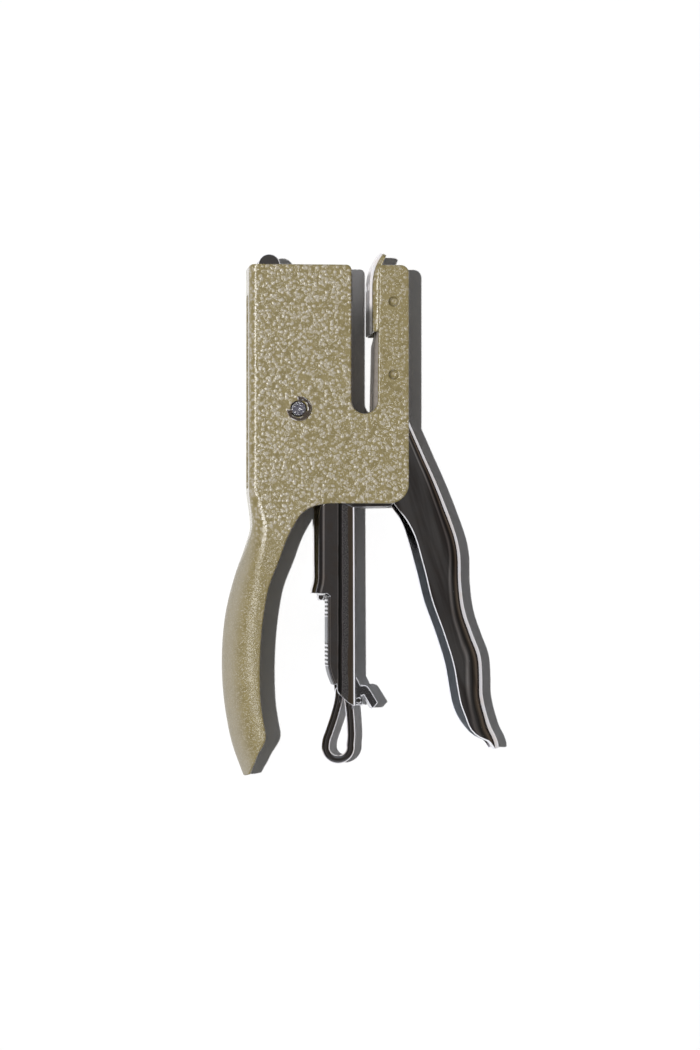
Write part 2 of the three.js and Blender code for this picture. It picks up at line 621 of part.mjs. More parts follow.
// Leaf beside the case with a thumb tab bent down and outwards.
function loaderCatch() {
  const s = new THREE.Shape();
  s.moveTo(18.5, -93.1);
  s.lineTo(18.4, -84.5);
  s.lineTo(18.7, -84.3);
  s.lineTo(19.35, -85.6);
  s.lineTo(19.9, -87.1);
  s.quadraticCurveTo(21.6, -86.7, 22.7, -88.2);
  s.lineTo(25.5, -92.5);
  s.lineTo(23.6, -94.2);
  s.lineTo(21.0, -90.4);
  s.lineTo(20.3, -90.3);
  s.lineTo(20.6, -93.2);
  s.closePath();
  return slab(s, MID_Z - 4.2, MID_Z + 4.2, 6).subtract(bar(19.4, -91.7, 0.7, 0, BODY_T));
}

function catchPin() {
  return bar(19.4, -91.7, 0.45, MID_Z - 4.8, MID_Z + 4.8);
}

// ---- assembly ----
const assembly = new THREE.Group();
function addPart(name, solid, material) {
  const mesh = new THREE.Mesh(toGeometry(solid), material);
  mesh.name = name;
  assembly.add(mesh);
}

addPart('body_shell', bodyShell(), enamel());
addPart('pivot_pin', pivotPin(), zinc());
addPart('retaining_clip', retainingClip(), chrome());
addPart('pivot_bush', pivotBush(), zinc());
addPart('anvil_carrier', anvilCarrier(), enamel());
addPart('anvil_plate', anvilPlate(), chrome());
addPart('arm_channel', armChannel(), steel());
for (const [name, y] of Object.entries(RIVET_YS)) addPart(name, anvilRivet(y), enamel());
addPart('lever', lever(), chrome());
addPart('driver_pin', driverPin(), zinc());
addPart('return_spring', returnSpring(), steel());
addPart('magazine_case', magazineCase(), chrome());
addPart('case_stop', caseStop(), steel());
addPart('nose_plate', nosePlate(), steel());
addPart('core_rail', coreRail(), steel());
addPart('driver_carrier', driverCarrier(), zinc());
addPart('driver_blade', driverBlade(), steel());
addPart('end_plug', endPlug(), zinc());
addPart('loader_rod', loaderRod(), steel());
addPart('pull_loop', pullLoop(), chrome());
addPart('pusher_spring', pusherSpring(), steel());
addPart('pusher', pusher(), zinc());
addPart('loader_catch', loaderCatch(), chrome());
addPart('catch_pin', catchPin(), steel());

// The frame's origin is the middle of the tool's outline, on the plane it lies on.
const box = new THREE.Box3().setFromObject(assembly);
assembly.position.set(-(box.min.x + box.max.x) / 2, -(box.min.y + box.max.y) / 2, -box.min.z);
assembly.updateMatrixWorld(true);

const plierStapler = new THREE.Group();
plierStapler.add(assembly);
export default plierStapler;
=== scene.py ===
"""Looks of the plier stapler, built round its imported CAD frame.

Shapes are laid out in millimetres from the pivot pin's axis, on the plane that the tool lies on: X runs
towards the anvil, Y towards the nose and Z across the thickness. place() turns them into the frame's metres.
"""
import json
import math
import bpy
import numpy as np
from mathutils import Matrix, Vector, noise
from mathutils.geometry import delaunay_2d_cdt


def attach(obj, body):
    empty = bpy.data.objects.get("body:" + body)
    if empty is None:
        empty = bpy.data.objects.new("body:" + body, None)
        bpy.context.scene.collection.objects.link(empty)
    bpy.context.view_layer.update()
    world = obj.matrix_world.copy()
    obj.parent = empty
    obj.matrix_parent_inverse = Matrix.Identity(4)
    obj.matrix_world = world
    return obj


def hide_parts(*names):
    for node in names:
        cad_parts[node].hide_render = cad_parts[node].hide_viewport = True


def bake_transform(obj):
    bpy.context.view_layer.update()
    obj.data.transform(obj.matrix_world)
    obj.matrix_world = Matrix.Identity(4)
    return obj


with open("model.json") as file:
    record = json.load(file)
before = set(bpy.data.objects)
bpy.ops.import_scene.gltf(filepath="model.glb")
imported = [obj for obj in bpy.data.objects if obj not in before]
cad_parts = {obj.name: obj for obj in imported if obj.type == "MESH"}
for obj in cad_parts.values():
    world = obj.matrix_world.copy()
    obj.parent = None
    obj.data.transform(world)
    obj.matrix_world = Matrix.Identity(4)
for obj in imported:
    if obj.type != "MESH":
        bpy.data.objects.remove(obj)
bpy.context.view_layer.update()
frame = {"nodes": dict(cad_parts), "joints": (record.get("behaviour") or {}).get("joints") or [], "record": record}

MM = 0.001
SQUEEZE = next(j for j in frame["joints"] if j["name"] == "lever_squeeze")
PIVOT = Vector((SQUEEZE["pos_m"][0], SQUEEZE["pos_m"][1], 0))

# ---- sizes, millimetres ----
BODY_T = 18.0                    # over both body plates
MID_Z = BODY_T / 2
SHEET = 1.2                      # body, lever and anvil carrier
CASE_SHEET = 0.8
GAP = 0.3
LEVER_Z = (SHEET + GAP, BODY_T - SHEET - GAP)
CASE_Z = (LEVER_Z[0] + SHEET + GAP, LEVER_Z[1] - SHEET - GAP)

HEAD_TOP = 45.5
HEAD_LEFT = -15.56
HEAD_RIGHT = 16.7
ARM_LEFT = 25.05
ARM_RIGHT = 34.9
BODY_BOTTOM = -29.7
CORNER_R = 6.2
THROAT_FLOOR = -1.4
PIN_R = 2.2
PIN_GROOVE_R = 1.65
PIN_TOP = 19.8
PIN_HOLE = (0, 0, PIN_R + GAP)
STAPLE_Y = 38.9
ANVIL_X = 22.6
RIVETS = {"anvil_rivet_upper": 33.9, "anvil_rivet_lower": 10.9}
RIVET_X = 30.0
RIVET_R = 1.36
CASE_TOP = 43.5
CASE_LEFT = 5.34
CASE_LOWER_LEFT = 9.4
CASE_RIGHT = 17.8
CASE_STEP = -57.9
CASE_RIBS = ((-61.8, 3.6), (-77.2, 3.8))     # centre and half length of each group of ribs
RIB_PITCH = 1.3
LOOP_WIRE = 1.32
CHANNEL_X = 24.2


# ---- lines ----
def unit(v):
    v = np.asarray(v, float)
    return v / max(np.linalg.norm(v), 1e-12)


def even(points, step):
    """The same line in even steps."""
    p = np.asarray(points, float)
    run = np.concatenate([[0], np.cumsum(np.linalg.norm(np.diff(p, axis=0), axis=1))])
    at = np.linspace(0, run[-1], max(2, int(round(run[-1] / step)) + 1))
    return np.column_stack([np.interp(at, run, p[:, k]) for k in range(p.shape[1])])


def spline(points, step, fine=16):
    """Smooth curve through given points, in even steps."""
    p = np.asarray(points, float)
    h = np.linalg.norm(np.diff(p, axis=0), axis=1)
    slope = np.diff(p, axis=0) / h[:, None]
    tangent = np.empty_like(p)
    tangent[0], tangent[-1] = slope[0], slope[-1]
    tangent[1:-1] = (slope[1:] * h[:-1, None] + slope[:-1] * h[1:, None]) / (h[:-1] + h[1:])[:, None]
    out = [p[0]]
    for i in range(len(h)):
        for k in range(1, fine + 1):
            t = k / fine
            out.append((2 * t**3 - 3 * t**2 + 1) * p[i] + (t**3 - 2 * t**2 + t) * h[i] * tangent[i]
                       + (3 * t**2 - 2 * t**3) * p[i + 1] + (t**3 - t**2) * h[i] * tangent[i + 1])
    return even(out, step)


def arc(x, y, r, start, end, steps=10):
    a = np.radians(np.linspace(start, end, steps + 1))
    return np.column_stack([x + r * np.cos(a), y + r * np.sin(a)])


def corners(*points, turn=12):
    """Line through (x, y, radius) corners, each rounded by its radius."""
    out = []
    for i, (x, y, r) in enumerate(points):
        here = np.array([x, y], float)
        if r == 0 or i in (0, len(points) - 1):
            out.append(here)
            continue
        back = unit(np.array(points[i - 1][:2]) - here)
        on = unit(np.array(points[i + 1][:2]) - here)
        half = math.acos(np.clip(back @ on, -1, 1)) / 2
        centre = here + unit(back + on) * r / math.sin(half)
        a, b = here + back * r / math.tan(half), here + on * r / math.tan(half)
        steps = max(2, int(math.degrees(math.pi - 2 * half) / turn))
        a0, a1 = math.atan2(*(a - centre)[::-1]), math.atan2(*(b - centre)[::-1])
        sweep = (a1 - a0 + math.pi) % (2 * math.pi) - math.pi
        for k in range(steps + 1):
            t = a0 + sweep * k / steps
            out.append(centre + r * np.array([math.cos(t), math.sin(t)]))
    return np.array(out)


def join(*lines):
    out = [np.asarray(lines[0], float)[0]]
    for line in lines:
        for p in np.asarray(line, float):
            if np.linalg.norm(p - out[-1]) > 0.02:
                out.append(p)
    return np.array(out)


def directions(line):
    """Unit direction at each point of a line."""
    way = np.gradient(line, axis=0)
    return way / np.linalg.norm(way, axis=1)[:, None]


def smooth(t):
    t = np.clip(t, 0, 1)
    return t * t * (3 - 2 * t)


def reading(stations):
    """Value against y, from a list of (y, value)."""
    ys, values = zip(*sorted(stations))
    return lambda y: float(np.interp(y, ys, values))


def constant(value):
    """The same value at every y."""
    return lambda y: value


# ---- sheets ----
class Surface:
    """Points, outward normals and faces of a sheet's outer side."""

    def __init__(self):
        self.points, self.normals, self.faces = [], [], []
        self.holes = set()

    def add(self, point, normal):
        self.points.append(np.asarray(point, float))
        self.normals.append(unit(normal))
        return len(self.points) - 1

    def strip(self, columns):
        """Faces between neighbouring columns of points."""
        for a, b in zip(columns, columns[1:]):
            for j in range(len(a) - 1):
                self.faces.append((a[j], a[j + 1], b[j + 1], b[j]))

    def plate(self, loops, z, up, spacing):
        """Flat part inside loops[0] and outside the others; each loop is a list of point numbers."""
        ids = [i for loop in loops for i in loop]
        flat = np.array([self.points[i][:2] for i in ids])
        edges, start = [], 0
        for loop in loops:
            n = len(loop)
            edges += [(start + k, start + (k + 1) % n) for k in range(n)]
            start += n
        a, b = flat[[e[0] for e in edges]], flat[[e[1] for e in edges]]
        for x, y in self.inside_points(a, b, flat, spacing):
            ids.append(self.add((x, y, z), (0, 0, up)))
        everything = [Vector(self.points[i][:2]) for i in ids]
        found = delaunay_2d_cdt(everything, edges, [], 0, 1e-6)
        for face in found[2]:
            p, q, r = (found[0][k] for k in face)
            sliver = abs((q - p).cross(r - p)) < 1e-4
            if not sliver and inside(np.array([(p + q + r) / 3]), a, b)[0]:
                corner = [ids[found[3][k][0]] for k in face]
                self.faces.append(tuple(corner if up > 0 else corner[::-1]))

    @staticmethod
    def inside_points(a, b, flat, spacing):
        dx, dy = spacing if isinstance(spacing, tuple) else (spacing, spacing * 0.866)
        low, high = flat.min(0), flat.max(0)
        xs = np.arange(low[0] + dx / 2, high[0], dx)
        ys = np.arange(low[1] + dy / 2, high[1], dy)
        grid = np.array([(x, y) for y in ys for x in xs])
        keep = inside(grid, a, b)
        grid = grid[keep]
        along = b - a
        t = np.einsum("ijk,jk->ij", grid[:, None, :] - a[None], along) / (along**2).sum(1)
        near = a[None] + np.clip(t, 0, 1)[..., None] * along[None]
        distance = np.linalg.norm(grid[:, None, :] - near, axis=2).min(1)
        return grid[distance > 0.45 * min(dx, dy)]

    def emboss(self, height):
        """Moves every point along its normal by height(points), and tilts the normals to match."""
        p, n = np.array(self.points), np.array(self.normals)
        eps = 0.02
        slope = np.column_stack([(height(p + d) - height(p - d)) / (2 * eps) for d in np.eye(3) * eps])
        along = slope - (slope * n).sum(1)[:, None] * n
        moved = n - along
        self.points = list(p + n * height(p)[:, None])
        self.normals = list(moved / np.linalg.norm(moved, axis=1)[:, None])


def inside(points, a, b):
    """Which points lie inside the closed edges a to b."""
    x, y = points[:, 0:1], points[:, 1:2]
    crosses = (a[:, 1] > y) != (b[:, 1] > y)
    rise = np.where(np.abs(b[:, 1] - a[:, 1]) < 1e-12, 1e-12, b[:, 1] - a[:, 1])
    at = a[:, 0] + (y - a[:, 1]) * (b[:, 0] - a[:, 0]) / rise
    return (crosses & (x < at)).sum(1) % 2 == 1


def thicken(surface, sheet, edge, wide=1.0, steps=3):
    """A sheet's solid: the surface, its inner side and rims rounded by edge, wide times as far across."""
    p, n = np.array(surface.points), np.array(surface.normals)
    used = {pair for f in surface.faces for pair in zip(f, f[1:] + f[:1])}
    follow = {a: b for a, b in used if (b, a) not in used}
    before = {b: a for a, b in follow.items()}
    rim = sorted(follow)
    near = {}
    for a, b in used:
        if a in follow and b not in follow:
            near.setdefault(a, []).append(b)

    def side(a, b):
        return unit(np.cross(p[b] - p[a], n[a] + n[b]))

    out, pull = {}, {}
    for v in rim:
        s1, s2 = side(before[v], v), side(v, follow[v])
        out[v] = (s1 + s2) / max(1 + s1 @ s2, 0.4)
        reach = [-(p[u] - p[v]) @ unit(out[v]) for u in near.get(v, [])]
        reach = [r for r in reach if r > 0.01]
        pull[v] = min([edge if v in surface.holes else edge * wide] + [0.7 * r for r in reach])
    count = len(p)
    points = list(p) + list(p - sheet * n)
    normals = list(n) + list(-n)
    for v in rim:
        points[v] = p[v] - pull[v] * out[v]
        points[count + v] = points[v] - sheet * n[v]
    rows = {v: [v] for v in rim}
    quarter = [math.pi / 2 * k / steps for k in range(steps + 1)]
    first = 0 if sheet > 2 * edge + 0.01 else 1
    for v in rim:
        e, o, m = pull[v], out[v], n[v]
        turns = [(e * (1 - math.sin(t)), edge * (1 - math.cos(t)), math.cos(t), math.sin(t))
                 for t in quarter[1:]]
        turns += [(e * (1 - math.cos(t)), sheet - edge + edge * math.sin(t), -math.sin(t), math.cos(t))
                  for t in quarter[first:-1]]
        for inset, depth, up, across in turns:
            points.append(p[v] - inset * o - depth * m)
            normals.append(unit(up * m + across / wide * unit(o)))
            rows[v].append(len(points) - 1)
        rows[v].append(count + v)
    faces = list(surface.faces)
    faces += [tuple(count + i for i in reversed(f)) for f in surface.faces]
    for v in rim:
        w = follow[v]
        for k in range(len(rows[v]) - 1):
            faces.append((rows[w][k], rows[v][k], rows[v][k + 1], rows[w][k + 1]))
    rim_marks = [0.0] * (2 * count) + [1.0] * (len(points) - 2 * count)
    return points, faces, normals, rim_marks


class Fold:
    """A bent side of a folded sheet: outer line, bend sizes, and where its free edge cuts it."""
    ROWS = 11

    def __init__(self, line, bend_x, bend_z, cut=None, web=(-1, -0.5, 0, 0.5, 1), square_above=math.inf):
        self.line = np.asarray(line, float)
        way = directions(self.line)
        self.inward = np.column_stack([-way[:, 1], way[:, 0]])
        self.inward[self.line[:, 1] > square_above] = (1, 0)
        self.bend_x = [bend_x(y) for y in self.line[:, 1]]
        self.bend_z = [bend_z(y) for y in self.line[:, 1]]
        self.web = web
        self.reach, self.full = [], []
        for c, m, rx in zip(self.line, self.inward, self.bend_x):
            w = self.width(c, m, cut)
            self.full.append(w > rx + 0.8)
            self.reach.append(rx if self.full[-1] else w)

    @staticmethod
    def width(c, m, cut):
        if cut is None:
            return math.inf
        a, b = cut[:-1], cut[1:]
        d = b - a
        det = m[0] * -d[:, 1] + m[1] * d[:, 0]
        det = np.where(np.abs(det) < 1e-12, 1e-12, det)
        q = a - c
        s = (q[:, 0] * -d[:, 1] + q[:, 1] * d[:, 0]) / det
        t = (m[0] * q[:, 1] - m[1] * q[:, 0]) / det
        hits = s[(t >= 0) & (t <= 1) & (s > 0.05)]
        return float(hits.min()) if len(hits) else math.inf

    def column(self, i, z0, z1):
        """Points and normals from the near plate, round the web, to the far plate."""
        c, m, rx, rz, reach = self.line[i], self.inward[i], self.bend_x[i], self.bend_z[i], self.reach[i]
        near = []
        for k in range(self.ROWS):
            s = reach * (1 - math.sin(math.pi / 2 * k / (self.ROWS - 1)))
            cos = max(0.0, 1 - s / rx)
            sin = math.sqrt(1 - cos * cos)
            across = np.array([*(c + m * s), z1 - rz * (1 - sin)])
            near.append((across, np.array([*(-m * cos / rx), sin / rz])))
        low, high = z0 + rz, z1 - rz
        rows = list(near)
        for v in reversed(self.web[1:-1]):
            rows.append((np.array([*c, (low + high) / 2 + v * (high - low) / 2]), np.array([*(-m), 0])))
        for across, normal in reversed(near):
            rows.append((across * (1, 1, -1) + (0, 0, z0 + z1), normal * (1, 1, -1)))
        return rows

    def ends(self, columns):
        """The columns whose first and last points lie on the plates' outlines."""
        n = len(columns)
        return [columns[i] for i in range(n)
                if self.full[i] or (i and self.full[i - 1]) or (i + 1 < n and self.full[i + 1])]


def folded(loop, z0, z1, holes=(), spacing=4.0, relief=None):
    """Outer side of a folded sheet. loop runs anticlockwise as folds and free lines; holes are (x, y, r)."""
    surface = Surface()
    near, far = [], []
    for item in loop:
        if isinstance(item, Fold):
            columns = []
            for i in range(len(item.line)):
                columns.append([surface.add(p, n) for p, n in item.column(i, z0, z1)])
            surface.strip(columns)
            for column in item.ends(columns):
                near.append(column[0])
                far.append(column[-1])
        else:
            for x, y in item:
                near.append(surface.add((x, y, z1), (0, 0, 1)))
                far.append(surface.add((x, y, z0), (0, 0, -1)))
    for side, z, up in ((near, z1, 1), (far, z0, -1)):
        loops = [side]
        for x, y, r in holes:
            ring = arc(x, y, r, 0, 360 * 35 / 36, 35)
            loops.append([surface.add((px, py, z), (0, 0, up)) for px, py in ring])
            surface.holes.update(loops[-1])
        surface.plate(loops, z, up, spacing)
    if relief:
        surface.emboss(relief)
    return surface


def after(line, fold, end):
    """The part of a free line that is not beyond a fold's last full column."""
    full = [i for i, f in enumerate(fold.full) if f]
    i = full[-1] + 1 if end == "last" else full[0] - 1
    corner = fold.line[i] + fold.inward[i] * fold.reach[i]
    nearest = int(np.argmin(np.linalg.norm(line - corner, axis=1)))
    kept = line[nearest + 1:] if end == "last" else line[:nearest]
    return kept[np.linalg.norm(kept - corner, axis=1) > 0.3]


# ---- objects ----
def place(name, points, faces, normals=None, rim_marks=None, angle=None):
    """A mesh object from points in millimetres about the pivot; rim_marks is 1 on cut edges."""
    mesh = bpy.data.meshes.new(name)
    mesh.from_pydata([Vector(p) * MM + PIVOT for p in points], [], [tuple(map(int, f)) for f in faces])
    mesh.validate()
    mesh.shade_smooth()
    if normals is not None:
        mesh.normals_split_custom_set_from_vertices([tuple(n) for n in normals])
    elif angle:
        mesh.set_sharp_from_angle(angle=math.radians(angle))
    if rim_marks:
        mesh.attributes.new("rim", "FLOAT", "POINT").data.foreach_set("value", rim_marks)
    piece = bpy.data.objects.new(name, mesh)
    bpy.context.scene.collection.objects.link(piece)
    return piece


def sheet_piece(name, surface, sheet, edge, wide=1.0):
    return place(name, *thicken(surface, sheet, edge, wide))


def flat_piece(name, outline, z0, z1, edge, holes=(), spacing=2.0):
    """A flat plate from z0 to z1 with rounded edges."""
    surface = Surface()
    loops = [[surface.add((x, y, z1), (0, 0, 1)) for x, y in outline]]
    for x, y, r in holes:
        loops.append([surface.add((px, py, z1), (0, 0, 1)) for px, py in arc(x, y, r, 0, 350, 35)])
    surface.plate(loops, z1, 1, spacing)
    return sheet_piece(name, surface, z1 - z0, edge)


def swept(line, z0, z1, rows):
    """Surface of a line in plan swept from z1 down to z0, facing the line's right side."""
    surface = Surface()
    way = np.gradient(line, axis=0)
    columns = []
    for c, d in zip(line, way):
        columns.append([surface.add((*c, z), (d[1], -d[0], 0)) for z in np.linspace(z1, z0, rows)])
    surface.strip(columns)
    return surface


def tube(name, path, radius, sides=16):
    """Round wire along a path, with domed ends."""
    path = np.asarray(path, float)
    way = directions(path)
    side = unit(np.cross(way[0], (0.3, 0.2, 1.0)))
    points, normals, rings = [], [], []
    caps = [(1 - math.cos(a), math.sin(a)) for a in (math.pi / 8, math.pi / 4, 3 * math.pi / 8)]

    def ring(centre, u, v, r, tilt):
        ids = []
        for k in range(sides):
            a = 2 * math.pi * k / sides
            n = u * math.cos(a) + v * math.sin(a)
            points.append(centre + r * n)
            normals.append(unit(n * r + tilt * radius))
            ids.append(len(points) - 1)
        rings.append(ids)

    for i, (c, d) in enumerate(zip(path, way)):
        side = unit(side - (side @ d) * d)
        v = np.cross(d, side)
        if i == 0:
            for s, k in reversed([(radius * sin, radius * (1 - cos)) for cos, sin in caps]):
                ring(c - d * s, side, v, k, -d * s / radius)
        ring(c, side, v, radius, d * 0)
        if i == len(path) - 1:
            for s, k in [(radius * sin, radius * (1 - cos)) for cos, sin in caps]:
                ring(c + d * s, side, v, k, d * s / radius)
    faces = []
    for a, b in zip(rings, rings[1:]):
        faces += [(a[k], a[(k + 1) % sides], b[(k + 1) % sides], b[k]) for k in range(sides)]
    for ring_ids, centre, d in ((rings[0][::-1], path[0] - way[0] * radius, -way[0]),
                                (rings[-1], path[-1] + way[-1] * radius, way[-1])):
        points.append(centre)
        normals.append(d)
        tip = len(points) - 1
        faces += [(ring_ids[k], ring_ids[(k + 1) % sides], tip) for k in range(sides)]
    return place(name, points, faces, normals)


def lathe(name, profile, x, y, segments=48, bumps=0.0):
    """Turned piece about a z axis: profile is (r, z) from the bottom centre to the top centre."""
    points, rings = [], []
    for r, z in profile:
        ids = []
        for k in range(1 if r == 0 else segments):
            a = 2 * math.pi * k / segments
            px, py = x + r * math.cos(a), y + r * math.sin(a)
            lift = bumps * noise.noise(Vector((px * 1.6, py * 1.6, 3.0))) if z > PIN_TOP - 1 else 0
            points.append((px, py, z + lift))
            ids.append(len(points) - 1)
        rings.append(ids)
    faces = []
    for a, b in zip(rings, rings[1:]):
        for k in range(segments):
            j = (k + 1) % segments
            if len(a) == 1:
                faces.append((a[0], b[j], b[k]))
            elif len(b) == 1:
                faces.append((a[k], a[j], b[0]))
            else:
                faces.append((a[k], a[j], b[j], b[k]))
    return place(name, points, faces, angle=40)


# ---- body shell ----
SPINE = [(HEAD_LEFT, -12), (HEAD_LEFT, -20), (-15.5, -26), (-14.75, -32), (-14.45, -37.4), (-15.9, -42.5),
         (-19.3, -51.9), (-22.3, -63.6), (-23.5, -75.2), (-23.2, -88.4), (-22.2, -96.3), (-20, -106.3),
         (-18.1, -111.6), (-16.6, -115.5)]
GRIP_EDGE = [(-15.4, -115.3), (-15.1, -114), (-13.9, -111.4), (-12.8, -108.5), (-11.2, -106),
             (-10.2, -103.7), (-10.7, -99.7), (-11.6, -94.1), (-12.1, -83.9), (-11.9, -75.2), (-10.9, -64.7),
             (-9.2, -55.8), (-6, -47.5), (-3.3, -40.2), (-1.4, -36.6), (1.1, -32.9), (4.4, -30.8),
             (9.6, BODY_BOTTOM)]
BODY_BEND_X = reading([(46, 2.4), (-25, 2.4), (-30, 3.5), (-47.5, 6.6), (-53.8, 8.6), (-60, 9.6), (-66, 10.2),
                       (-79, 10.8), (-92, 11.4), (-116, 11.4)])
BODY_BEND_Z = reading([(46, 2.4), (-25, 2.4), (-36, 4.5), (-48, 7), (-60, 8.5), (-116, 8.8)])
PANEL = {"low": -24.9, "high": 36.4, "half": 4.75, "depth": 0.4, "soft": 0.35}


def panel_dent(p):
    """Blank pressed panel along the spine."""
    soft = PANEL["soft"]
    along = smooth((p[:, 1] - PANEL["low"]) / soft) * smooth((PANEL["high"] - p[:, 1]) / soft)
    across = smooth((PANEL["half"] - np.abs(p[:, 2] - MID_Z)) / soft)
    on_web = smooth((HEAD_LEFT + 1.2 - p[:, 0]) / 0.8)
    return -PANEL["depth"] * along * across * on_web


def body_shell():
    low, high = PANEL["low"], PANEL["high"]
    ys = [HEAD_TOP, 45.3, 44.9, 44.4, 43, 40.5, 38.5, high + 0.2, high, high - 0.18, high - 0.35]
    ys += list(np.arange(34, -11, -3))
    head = [(HEAD_LEFT + 0.9 * smooth((y - 44.4) / 1.3) ** 2, y) for y in ys]
    lower = spline(SPINE, 1.4)
    lower = lower[np.abs(lower[:, 1] - low) > 0.8]
    ends = [(np.interp(y, lower[::-1, 1], lower[::-1, 0]), y)
            for y in (low + 0.35, low + 0.18, low, low - 0.2)]
    lower = np.array(sorted([*lower.tolist(), *ends], key=lambda q: -q[1]))
    grip = spline(GRIP_EDGE, 1.4)
    web = (-1, -0.84, -0.76, -0.72, -0.69, -0.66, -0.5, -0.25, 0, 0.25, 0.5, 0.66, 0.69, 0.72, 0.76, 0.84, 1)
    spine = Fold(join(head, lower), BODY_BEND_X, BODY_BEND_Z, grip, web, square_above=-11)
    throat_r = (ARM_LEFT - HEAD_RIGHT) / 2
    throat_y = THROAT_FLOOR + throat_r
    rest = corners((9.6, BODY_BOTTOM, 0), (ARM_RIGHT, BODY_BOTTOM, CORNER_R), (ARM_RIGHT, HEAD_TOP, 2.6),
                   (ARM_LEFT + 0.3, HEAD_TOP, 1.2), (ARM_LEFT, throat_y, 0), turn=7)
    throat = arc((ARM_LEFT + HEAD_RIGHT) / 2, throat_y, throat_r, 0, -180, 24)
    head_top = corners((HEAD_RIGHT, throat_y, 0), (HEAD_RIGHT, HEAD_TOP, 1.6), (-10, HEAD_TOP, 0))
    free = join(after(grip, spine, "last"), rest, throat, head_top)
    holes = [PIN_HOLE] + [(RIVET_X, y, RIVET_R + 0.04) for y in RIVETS.values()]
    surface = folded([spine, free], 0, BODY_T, holes, 2.6, panel_dent)
    return sheet_piece("folded_body", surface, SHEET, 0.5, 1.1)


# ---- lever ----
LEVER_BACK = [(64, -107), (63.9, -105.4), (63.1, -103.2), (61.3, -99.7), (59.4, -94.1), (58.6, -90),
              (58.5, -84.8), (57.8, -77.1), (55.5, -71), (52.9, -63.3), (51.7, -54.8), (51.2, -44.7),
              (48.6, -34.8), (44.8, -24.9), (40.1, -14.5), (35, -3.1)]
LEVER_EDGE = [(30.1, -29.4), (34, -34.9), (39, -49.4), (41.7, -60.1), (45.6, -71), (48.6, -80.9),
              (49.9, -88.4), (50.7, -92.5), (52.4, -97.1), (54.4, -100.7), (56.5, -102.8), (58.6, -103.9),
              (60.6, -104.7), (61.8, -106.2), (62.6, -107.4)]
LEVER_BEND_X = reading([(0, 3), (-18, 3.4), (-35, 4.4), (-55, 5.5), (-70, 6.4), (-85, 7.3), (-96, 7),
                        (-108, 6.4)])
LEVER_BEND_Z = reading([(0, 2.6), (-18, 2.9), (-35, 3.7), (-55, 4.5), (-70, 4.7), (-85, 4.8), (-108, 4.8)])
LEVER_SLANT = 0.085              # slide of the grip's plates for each millimetre from the middle
ARM_END = (-9.2, 45.3, 3.5)
HUB_R = 7.0
DRIVER_HOLE = (-8.6, STAPLE_Y, 1.6 + GAP)


def lever():
    inner = spline(LEVER_EDGE, 1.2)
    back = Fold(spline(LEVER_BACK, 1.3), LEVER_BEND_X, LEVER_BEND_Z, inner)
    x, y, r = ARM_END
    tilt = math.degrees(math.atan2(-x, y))
    lean = math.radians(tilt)
    top = corners((31.5, THROAT_FLOOR - 1.8, 0), (15, THROAT_FLOOR - 1.7, 8), (HUB_R - 1.2, 3.5, 3),
                  (-0.5, 24, 6), (x + r * math.cos(lean), y + r * math.sin(lean), 0))
    disc = arc(x, y, r, tilt, tilt + 180, 20)
    hub = arc(0, 0, HUB_R, 176, 243, 8)
    belly = spline([(-3.2, -6.4), (2.5, -18), (9, -26.6), (17, -30.9)], 2)
    free = join(top, disc, hub, belly, [(17, -30.9), (29.2, -30.6)], after(inner, back, "first"))
    surface = folded([back, free], *LEVER_Z, [PIN_HOLE, DRIVER_HOLE], 4)
    for i, (x, y, z) in enumerate(surface.points):
        grip = smooth((-30 - y) / 12) * smooth((-102 - y) / -6)
        surface.points[i] = np.array([x + LEVER_SLANT * (z - MID_Z) * grip, y, z])
    return sheet_piece("squeeze_lever", surface, SHEET, 0.3)


# ---- magazine ----
def case_relief(p):
    """Pressed groove along the case's side plates beside the rail, and cross ribs on the lower spine."""
    x, y, z = p[:, 0], p[:, 1], p[:, 2]
    plate = smooth((np.abs(z - MID_Z) - (CASE_Z[1] - MID_Z) + 0.4) / 0.3) * smooth((-y - 4) / 3)
    groove = -0.24 * smooth(1 - np.abs(x - 13.35) / 0.75)
    step = -0.08 * smooth((x - 15.2) / 0.5)
    roll = -0.14 * np.clip((x - 16.2) / 1.6, 0, 1) ** 2
    spine = smooth((CASE_LOWER_LEFT + 0.5 - x) / 0.3) * smooth((4.6 - np.abs(z - MID_Z)) / 0.5)
    ribs = sum(smooth((half - np.abs(y - at)) / 0.3) for at, half in CASE_RIBS)
    teeth = smooth(0.5 + 0.9 * np.sin(2 * math.pi * y / RIB_PITCH))
    return plate * (groove + step + roll) - 0.2 * spine * ribs * teeth


